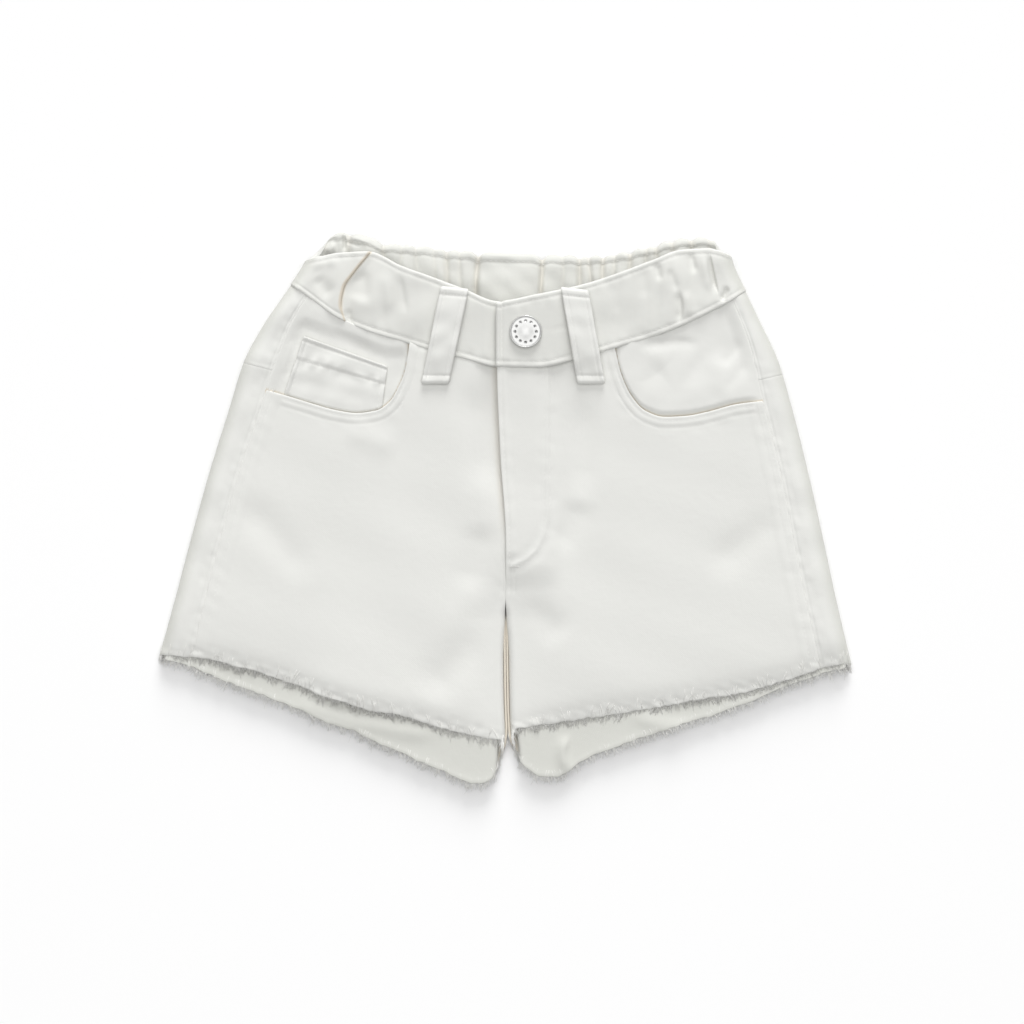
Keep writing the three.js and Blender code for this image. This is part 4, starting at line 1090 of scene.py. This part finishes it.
def facing(side):
    scoop = SCOOP[side]
    under = 9.0
    depth = TWILL + LAYER_GAP + (0.15 if side < 0 else 0)
    end = MOUTH_END[side] - side * under
    low, high = (-140, -58) if side < 0 else (62, 140)
    u = np.linspace(0, 1, CELLS["facing"][0])
    v = steps(CELLS["facing"][1])

    def level(place):
        foot = np.minimum(read(scoop, "x", "y", np.clip(place.x, low, high)), 62) - under
        return mix(front_waist(place.x) - VISIBLE_GAP, foot, v)

    place = settle(
        lambda y: on_front(mix(seam_x(side, y) - side * VISIBLE_GAP, end, u), y), level,
        np.full((len(v), len(u)), 80.0), passes=20,
    )
    mouth_y = read(scoop, "x", "y", np.clip(place.x, scoop["x"][0], scoop["x"][-1]))
    from_mouth = np.minimum(place.y - mouth_y, side * (place.x - MOUTH_END[side]))
    (ax, ay), (bx, by) = COIN_TOP
    coin_edge = mix(ay, by, np.clip((place.x - ax) / (bx - ax), 0, 1))
    clear = ease(4, 12, place.y - coin_edge) if side < 0 else 1.0
    puffed = mix(1, 0.2, ease(14, 36, from_mouth)) if side > 0 else 0.4
    rise = -depth + (depth - LAYER_GAP + 0.5 * puffed) * clear * ease(-0.5, 4.0, from_mouth)
    rise = rise - (1.3 if side > 0 else 0.0) * ease(8, 34, from_mouth)
    gape = ease(-1.5, 0.3, from_mouth) * ease(2.6, 0.6, from_mouth)
    rise = rise - 0.15 * gape + 0.6 * folds(FACING_FOLDS, *place.at) * ease(1, 6, from_mouth)
    rise = rise + 0.15 * waves(*place.at, 17.0, 81 + side)
    # Painted shade: a tan line along the pocket mouth, in the gap under the panel's edge.
    tint = 0.6 * ease(-2.0, 0.0, from_mouth) * ease(1.7, 0.5, from_mouth)
    from_seam = side * (seam_x(side, place.y) - place.x)
    rise = mix(-0.1, rise, ease(0, 8, from_seam))
    return wall(place, TWILL, rise), tint


def coin_pocket():
    place, u, v = patch(COIN_TOP, COIN_FOOT, *CELLS["coin"])
    height = 37.0
    width = 46.0
    down, left, right = v * height, u * width, (1 - u) * width
    hem = 0.55 * ease(12.4, 11.2, down)
    rows = bell(down - 2.0, 0.7) + 0.9 * bell(down - 11.4, 0.8)
    rows = rows + bell(left - 1.9, 0.7) + bell(right - 1.9, 0.7)
    rise = -TWILL - LAYER_GAP + 1.2 + hem - 0.35 * rows + 0.3 * waves(*place.at, 13.0, 91)
    rise = rise + 0.5 * bell(left, 1.6) + 0.4 * bell(down, 1.2)
    rise = rise - 0.4 * waves(*place.at, 8.0, 93) * bell(down - 11.4, 3.5)
    mouth_y = read(SCOOP[-1], "x", "y", np.clip(place.x, -130, -52))
    below = ease(2.0, -1.0, place.y - mouth_y)
    rise = rise - 1.7 * below
    # Painted shade where the pocket runs in under the panel's edge.
    return place, rise, 0.5 * below


LOOP_INSET = 2.0


def loop_relief(u, v, length):
    across = u * LOOP["width"]
    edge = np.minimum(across, LOOP["width"] - across)
    ends = np.minimum(v, 1 - v) * length
    rows = -0.24 * bell(edge - LOOP_INSET, 0.65) + 0.12 * bell(edge - 0.7, 0.8)
    tack = -0.3 * bell(ends - 3.6, 0.9) + 0.3 * ease(4.2, 3.0, ends)
    return rows * ease(0.5, 3, ends) + tack - 0.6 * ease(1.0, 0, ends)


def front_loop(top_x, top_y, foot_x, foot_y):
    half = LOOP["width"] / 2
    place, u, v = patch(
        ((top_x - half, top_y + 0.7), (top_x + half, top_y - 0.7)),
        ((foot_x - half, foot_y), (foot_x + half, foot_y)), *CELLS["front_loop"],
    )
    side = -1 if top_x < 0 else 1
    seam = front_waist(place.x)
    on_panel = fly_lift(*place.at) if side > 0 else 0.0
    step = ease(seam - 9, seam - 0.5, place.y)
    rise = mix(on_panel, band_rise(side, place.x), step) + LAYER_GAP + LOOP["thick"] + 0.5
    standing = 1.1 * np.sin(math.pi * np.clip((v - 0.08) / 0.84, 0, 1)) ** 0.7
    rise = rise + standing + loop_relief(u, v, 50.0) + 0.25 * waves(*place.at, 11.0, 95 + side)
    return place, rise


def back_loop(at):
    foot = float(back_waist(at)) - 8
    u = np.linspace(0, 1, CELLS["back_loop"][0])
    v = steps(CELLS["back_loop"][1])
    x = at + (u - 0.5) * LOOP["width"]
    y = foot + LOOP["back_length"] * (1 - v)
    place = Places(x + 0 * y, y + 0 * x, 0, 0, -1, 1)
    return place


def lathe(profile, centre, sides):
    """Rings of points round an upright line, and their faces."""
    turn = np.arange(sides) * 2 * math.pi / sides
    rings = np.array([[(p * math.cos(t), p * math.sin(t), z) for t in turn] for p, z in profile])
    points = rings.reshape(-1, 3) + np.asarray(centre)
    index = np.arange(len(profile) * sides).reshape(len(profile), sides)
    after = np.roll(index, -1, axis=1)
    faces = np.stack([index[:-1], after[:-1], after[1:], index[1:]], -1).reshape(-1, 4)
    return points, faces


DIMPLES = {"count": 12, "ring": 5.75, "radius": 0.6, "depth": 0.32}


def button():
    """A shank button: a dished face with a ring of plain dimples round its dome."""
    r, h = BUTTON["radius"], BUTTON["height"]
    stem = BAND + SEAM_GAP
    base = float(front_z(np.array(BUTTON["x"]), np.array(BUTTON["y"]))) + BAND_PROUD + LAYER_GAP
    centre = (BUTTON["x"], BUTTON["y"], base)
    rim = [(0.01, 0.0), (2.1, 0.0), (2.1, stem), (r * 0.7, stem), (r * 0.95, stem + 0.25), (r, stem + 0.7)]
    spots = np.linspace(0, 1, 46)
    face = []
    for s in spots:
        p = r * (1 - s)
        edge = 1.0 * math.exp(-(((r - p) / 0.9) ** 2))
        dome = (h - 1.5) * math.exp(-((p / 4.1) ** 2))
        face.append((max(p, 0.01), stem + 1.1 + 0.45 * edge + dome * 0.55 - 0.3 * (s < 0.01)))
    points, faces = lathe(rim + face, centre, 96)
    local = points - np.array(centre)
    angle = np.arctan2(local[:, 1], local[:, 0])
    distance = np.hypot(local[:, 0], local[:, 1])
    nearest = np.round(angle / (2 * math.pi) * DIMPLES["count"]) * 2 * math.pi / DIMPLES["count"]
    dimple_x, dimple_y = DIMPLES["ring"] * np.cos(nearest), DIMPLES["ring"] * np.sin(nearest)
    off = np.hypot(local[:, 0] - dimple_x, local[:, 1] - dimple_y)
    on_face = (local[:, 2] > stem + 0.8) * (distance > 3)
    dip = DIMPLES["depth"] * np.exp(-((off / DIMPLES["radius"]) ** 4)) * on_face
    points[:, 2] -= dip
    body = mesh_piece("shank_button", points, faces, metal)
    # Painted shade: the dimples are darker the deeper they are.
    paint(body, "crease", np.clip(dip * 3.0, 0, 1))
    return body


# ---- frayed edges ----
FRINGE = {  # how far its ends droop, how low they may reach, and its seed
    "front": (0.9, 5.75, 300),
    "back": (0.2, 0.2, 400),
}
FRAY = {"pitch": 0.25, "radius": 0.16, "shortest": 1.6, "longest": 4.8, "inside": 3.0, "loose": 4.5}


def edge_frames(faces):
    """Along the last row of a wall: its middle, the way down the cloth, and the way out of it."""
    outer, inner = faces
    middle = (outer[-1] + inner[-1]) / 2
    down = outer[-1] - outer[-4]
    down /= np.linalg.norm(down, axis=1, keepdims=True)
    out = outer[-1] - inner[-1]
    out /= np.linalg.norm(out, axis=1, keepdims=True)
    return middle, down, out


def fray(face_name, word, side, faces):
    """Loose threads along a hem, uneven in length, curl and direction, as one piece."""
    droop, ground, seed = FRINGE[face_name]
    rng = np.random.default_rng(seed + side)
    threads = Threads(3)
    middle, along, out = edge_frames(faces)
    walked = walk(middle)
    count = int(walked[-1] / FRAY["pitch"])
    spots = np.sort(rng.uniform(0.2, walked[-1] - 0.2, count))
    root, way, face = (sample(spots, walked, line) for line in (middle, along, out))
    across = np.cross(way, face)
    clump = 0.5 + 0.5 * np.sin(spots * 0.9 + 2.0 * np.sin(spots * 0.23))
    length = rng.uniform(FRAY["shortest"], FRAY["longest"], count) * (0.75 + 0.35 * clump)
    length = np.where(rng.uniform(0, 1, count) < 0.035, length * 1.5, length)
    sideways = rng.normal(0, 0.24, count) + 0.25 * np.sin(spots * 0.7)
    curl = rng.normal(0, 0.6, count)
    on_top = rng.uniform(0, 1, count) < 0.1
    depth = np.where(on_top, 0.66, rng.uniform(-0.5, 0.5, count))
    inside = FRAY["inside"] + on_top * rng.uniform(0, FRAY["loose"], count)
    share = np.array([0.0, 0.36, 0.7, 1.0])
    reach = (length + inside)[:, None] * share - inside[:, None]
    bend = np.maximum(reach, 0) / np.maximum(length[:, None], 0.1)
    centres = root[:, None] + way[:, None] * reach[..., None]
    centres = centres + across[:, None] * (sideways[:, None] * reach + curl[:, None] * bend**2)[..., None]
    centres = centres + face[:, None] * (depth[:, None] - droop * bend**2 * 0.9)[..., None]
    centres[..., 2] = np.maximum(centres[..., 2], ground)
    radii = FRAY["radius"] * rng.uniform(0.75, 1.3, count)[:, None] * np.array([1.0, 1.0, 0.85, 0.5])
    threads.add(centres, radii, face)
    obj = threads.make(f"frayed_{face_name}_{word}", thread)
    dress(obj, "frayed_thread", f"frayed_hem_{face_name}_{word}")


# ---- materials ----
def nodes_of(name):
    material = bpy.data.materials.new(name)
    material.use_nodes = True
    tree = material.node_tree
    return material, tree, tree.nodes["Principled BSDF"]


def feed(tree, node, inputs):
    """Sets each input of a node: an output is linked to it, and anything else is its value."""
    for key, value in inputs.items():
        if isinstance(value, bpy.types.NodeSocket):
            tree.links.new(value, node.inputs[key])
        else:
            node.inputs[key].default_value = value


def add_node(tree, kind, inputs, **settings):
    node = tree.nodes.new("ShaderNode" + kind)
    for key, value in settings.items():
        setattr(node, key, value)
    feed(tree, node, inputs)
    return node.outputs


def mixed(tree, factor, one, two):
    node = tree.nodes.new("ShaderNodeMix")
    node.data_type = "RGBA"
    a, b = [k for k, socket in enumerate(node.inputs) if socket.type == "RGBA"]
    feed(tree, node, {0: factor, a: one, b: two})
    return [socket for socket in node.outputs if socket.type == "RGBA"][0]


def noise(tree, at, scale, detail):
    return add_node(tree, "TexNoise", {"Vector": at, "Scale": scale, "Detail": detail})[0]


def painted(tree, name):
    return add_node(tree, "Attribute", {}, attribute_name=name)["Fac"]


def bump(tree, height, strength, distance, under=None):
    inputs = {"Height": height, "Strength": strength, "Distance": distance}
    return add_node(tree, "Bump", inputs if under is None else {**inputs, "Normal": under})[0]


def object_place(tree):
    return add_node(tree, "TexCoord", {})["Object"]


def cloth_material(name, tone, shade, shade_tan, dim_and_shade_grey):
    """Twill: fine diagonal ribs, crossing threads, fibres and a faint change of tone over the cloth. Two
    attributes mix in painted shade: a tan in crevices, and a darker grey at the side folds and inside, which
    also darkens the band fronts evenly.
    """
    material, tree, shader = nodes_of(name)
    at = object_place(tree)
    uv = add_node(tree, "UVMap", {}, uv_map="cloth")["UV"]
    ribs = add_node(tree, "TexWave", {"Vector": uv, "Scale": 62.0, "Distortion": 0.5, "Detail": 1.0},
                    wave_type="BANDS", bands_direction="DIAGONAL")[1]
    threads = add_node(tree, "TexWave", {"Vector": uv, "Scale": 58.0, "Distortion": 0.3},
                       wave_type="BANDS", bands_direction="X")[1]
    weave = add_node(tree, "Math", {0: ribs, 1: threads}, operation="ADD")[0]
    loose = bump(tree, noise(tree, at, 240.0, 3.0), 0.3, 0.00035)
    rough = bump(tree, noise(tree, at, 1300.0, 3.0), 0.25, 0.0001, loose)
    even = mixed(tree, noise(tree, at, 26.0, 4.0), tone, shade)
    # Painted shade: a darker grey at the side folds and inside, and a tan in crevices.
    shade_dimmed = mixed(tree, painted(tree, "dim_and_painted_shade"), even, dim_and_shade_grey)
    feed(tree, shader, {
        "Base Color": mixed(tree, painted(tree, "crease"), shade_dimmed, shade_tan), "Roughness": 0.92,
        "Normal": bump(tree, weave, 0.3, 0.00005, rough),
        "Specular IOR Level": 0.2, "Sheen Weight": 0.08, "Sheen Roughness": 0.5,
    })
    return material


def thread_material():
    material, tree, shader = nodes_of("cotton_thread")
    fibres = noise(tree, object_place(tree), 900.0, 2.0)
    feed(tree, shader, {
        "Base Color": mixed(tree, fibres, (0.775, 0.77, 0.745, 1), (0.83, 0.825, 0.80, 1)), "Roughness": 0.85,
        "Normal": bump(tree, fibres, 0.3, 0.0001), "Specular IOR Level": 0.25,
    })
    return material


def metal_material():
    material, tree, shader = nodes_of("nickel")
    wear = noise(tree, object_place(tree), 700.0, 4.0)
    even = mixed(tree, wear, (0.54, 0.54, 0.53, 1), (0.63, 0.63, 0.62, 1))
    # Painted shade: the dimples are darkened towards a dark grey.
    feed(tree, shader, {
        "Base Color": mixed(tree, painted(tree, "crease"), even, (0.22, 0.22, 0.22, 1)), "Metallic": 1.0,
        "Roughness": add_node(tree, "MapRange", {"Value": wear, "To Min": 0.26, "To Max": 0.4})[0],
    })
    return material


def tape_material():
    material, tree, shader = nodes_of("woven_tape")
    ribs = add_node(tree, "TexWave", {"Vector": object_place(tree), "Scale": 420.0, "Distortion": 0.4},
                    wave_type="BANDS", bands_direction="Y")[1]
    feed(tree, shader, {
        "Base Color": mixed(tree, ribs, (0.72, 0.71, 0.68, 1), (0.80, 0.79, 0.76, 1)), "Roughness": 0.9,
        "Normal": bump(tree, ribs, 0.4, 0.0001),
    })
    return material


def floor_material():
    material, tree, shader = nodes_of("pale_floor")
    feed(tree, shader, {"Base Color": (0.96, 0.96, 0.96, 1), "Roughness": 1.0, "Specular IOR Level": 0.0})
    return material


# ---- studio, in metres ----
LIGHT = {"ambient": 0.27, "overhead": 62.0, "key": 2.35, "spread": 30.0, "height": 22.0, "aside": 0.10}
FLOOR = {"reach": 3.0, "level": -0.0003}


def studio():
    data = bpy.data.cameras.new("camera")
    data.lens, data.sensor_width = LENS, SENSOR
    camera = put("camera", data)
    away = VIEW_WIDTH / SENSOR * LENS
    camera.location = Vector((VIEW_CENTRE[0], VIEW_CENTRE[1], VIEW_LEVEL + away)) * MM
    bpy.context.scene.camera = camera

    world = bpy.data.worlds.new("studio")
    world.use_nodes = True
    world.node_tree.nodes["Background"].inputs["Color"].default_value = (1.0, 1.0, 1.0, 1)
    world.node_tree.nodes["Background"].inputs["Strength"].default_value = LIGHT["ambient"]
    bpy.context.scene.world = world
    bpy.context.scene.view_settings.view_transform = "Standard"
    softbox("overhead", (0.0, 0.25, 2.9), (3.6, 3.6), LIGHT["overhead"])

    key = bpy.data.lights.new("key", "SUN")
    key.energy, key.angle = LIGHT["key"], math.radians(LIGHT["spread"])
    sun = put("key", key)
    away = Vector((LIGHT["aside"], 1.0, math.tan(math.radians(LIGHT["height"]))))
    sun.rotation_euler = (-away).to_track_quat("-Z", "Y").to_euler()

    mesh = bpy.data.meshes.new("floor")
    turns = ((-1, -1), (1, -1), (1, 1), (-1, 1))
    corners = [(FLOOR["reach"] * x, FLOOR["reach"] * y, FLOOR["level"]) for x, y in turns]
    mesh.from_pydata(corners, [], [(0, 1, 2, 3)])
    mesh.materials.append(floor_material())
    put("floor", mesh)


def softbox(name, place, size, watts):
    light = bpy.data.lights.new(name, "AREA")
    light.shape, light.size, light.size_y, light.energy = "RECTANGLE", size[0], size[1], watts
    obj = put(name, light)
    obj.location = place
    obj.rotation_euler = (-Vector(place)).to_track_quat("-Z", "Y").to_euler()


studio()
# The last two colours are painted shade: a tan for crevices, and a darker grey for the side folds and inside,
# which also darkens the band fronts evenly.
twill = cloth_material("off_white_twill", (0.785, 0.785, 0.755, 1), (0.768, 0.769, 0.738, 1),
                       (0.62, 0.50, 0.34, 1), (0.66, 0.663, 0.62, 1))
thread = thread_material()
metal = metal_material()
FINISH = {"twill": twill, "zip_tape": tape_material()}

hem_strips = {}
for word, side in SIDES.items():
    place, rise = front_panel(side)
    faces = wall(place, TWILL, rise)
    # Painted shade: a tan line along the edge of the fly, and in the slot between the legs.
    fly_edge_shade = 0.15 * ease(FLY["bottom"], 10, place.y) * ease(-4.5, -1.0, place.x - centre_x(place.y))
    slot_shade = 0.12 * ease(0.12, 0.5, place.back) * ease(9, 6, np.abs(place.x)) * ease(-52, -60, place.y)
    cloth(f"front_{word}", faces, f"front_panel_{word}", tint=slot_shade + (fly_edge_shade if side < 0 else 0))
    hem_strips["front", word] = faces
    for row in PANEL_ROWS[side]:
        sew_on(side, row)

    around = stretches(*CELLS["back"])
    hem_line = (wavy_hem(front_hem, 40 + side), wavy_hem(back_hem, 50 + side), 0.0, HEM_START)
    place = back_piece(side, (yoke_seam, yoke_seam, -HALF_GAP, 70.0), hem_line, around, CELLS["back_down"])
    inside = ease(0.9, 1.0, place.back) * np.maximum(folds(INSIDE_FOLDS, *place.at), 0)
    inside = inside * ease(-84, -96, place.y)
    rise = side_relief(side, place) - inside - back_hem_lift(place)
    rise = rise + place.top * hem_relief(*place.at)
    faces = wall(place, TWILL, rise)
    # Painted shade in the slot between the legs, and a darker grey at the side folds and inside the legs near
    # the hem.
    slot_shade = ease(12, 6, np.abs(place.x)) * ease(0.99, 0.7, place.back) * ease(-52, -60, place.y)
    inside = ease(0.8, 0.95, place.back) * ease(-60, -84, place.y)
    cloth(f"back_{word}", faces, f"back_panel_{word}", tint=0.45 * slot_shade,
          dim=(side_fold_shade(side, place), inside))
    hem_strips["back", word] = faces

    place = back_piece(side, (front_waist, back_waist, -HALF_GAP, 108.0),
                       (yoke_seam, yoke_seam, HALF_GAP, 70.0), stretches(*CELLS["yoke"]), CELLS["yoke_down"])
    above = place.y - yoke_seam(place.x)
    groove = -0.2 * bell(above - 1.8, 0.8) + 0.12 * ease(9, 7, above)
    faces = wall(place, TWILL, side_relief(side, place) + place.top * groove)
    # Painted shade darkens the yoke's side folds.
    cloth(f"yoke_{word}", faces, f"back_yoke_{word}", dim=(side_fold_shade(side, place), PLAIN[1]))

    faces, shade = facing(side)
    cloth(f"facing_{word}", faces, f"pocket_facing_{word}", tint=shade)

    place, faces, shade = plain_band(side)
    cloth(f"band_{word}", faces, f"waistband_front_{word}", tint=shade, dim=(0.35 + 0 * place.x, PLAIN[1]))
    rows = faces[0].shape[0]
    heights = np.linalg.norm(np.diff(faces[0], axis=0), axis=2).sum(0)
    for inset in (BAND_INSET, heights.mean() - BAND_INSET):
        at = np.clip(np.searchsorted(band_heights()[:, 0] * heights.mean(), inset), 1, rows - 2)
        sew(faces[0][at])
    if side > 0:
        sew(faces[0][2:-2, -5])

place, faces, shade = elastic_band()
# The elastic is darkened evenly on its outer face, with painted shade at its side folds and on its inner face
# behind.
cloth("band_elastic", faces, "waistband_elastic", tint=shade,
      dim=(0.3 + side_fold_shade(-1, place) + side_fold_shade(1, place), 0.6 * ease(0.45, 0.95, place.back)))
for at in (5, -6):
    sew(faces[0][at], faces[0][at] - faces[1][at])
sew(faces[1][-8], faces[1][-8] - faces[0][-8])

for name, ends in FRONT_LOOPS.items():
    place, rise = front_loop(*ends)
    faces = wall(place, LOOP["thick"], rise)
    cloth(name + "_cloth", faces, name)
    for column in (5, -6):
        sew(faces[0][3:-3, column])
    for row in (7, -8):
        for shift in (0, 1):
            sew(faces[0][row + shift, 2:-2], pitch=1.5, length=1.3)
for name, at in BACK_LOOPS.items():
    faces = wall(back_loop(at), LOOP["thick"], 0.0)
    cloth(name + "_cloth", faces, name)
    for column in (3, -4):
        sew(faces[0][2:-2, column], faces[0][2:-2, column] - faces[1][2:-2, column])

place, rise, shade = coin_pocket()
faces = wall(place, TWILL, rise)
cloth("coin_pocket_cloth", faces, "coin_pocket", tint=shade)
for row in (4, 25):
    sew(faces[0][row, 3:-3])
for column in (4, -5):
    sew(faces[0][3:-8, column])

bartack()

for word, side in SIDES.items():
    for face_name in FRINGE:
        fray(face_name, word, side, hem_strips[face_name, word])

stitches = sewing.make("topstitching", thread)
dress(stitches, "frayed_thread")
dress(button(), "button_metal", "button")

place, _, _ = patch(SHIELD_TOP, SHIELD_FOOT, *CELLS["shield"])
cloth("fly_shield_cloth", wall(place, TWILL, -TWILL - LAYER_GAP - fly_hollow(*place.at)), "fly_shield")
place, _, _ = patch(TAPE_TOP, TAPE_FOOT, *CELLS["tape"])
cloth("zip_tape_cloth", wall(place, TAPE_THICK, -TAPE_BELOW), "zip_tape", slot="zip_tape")
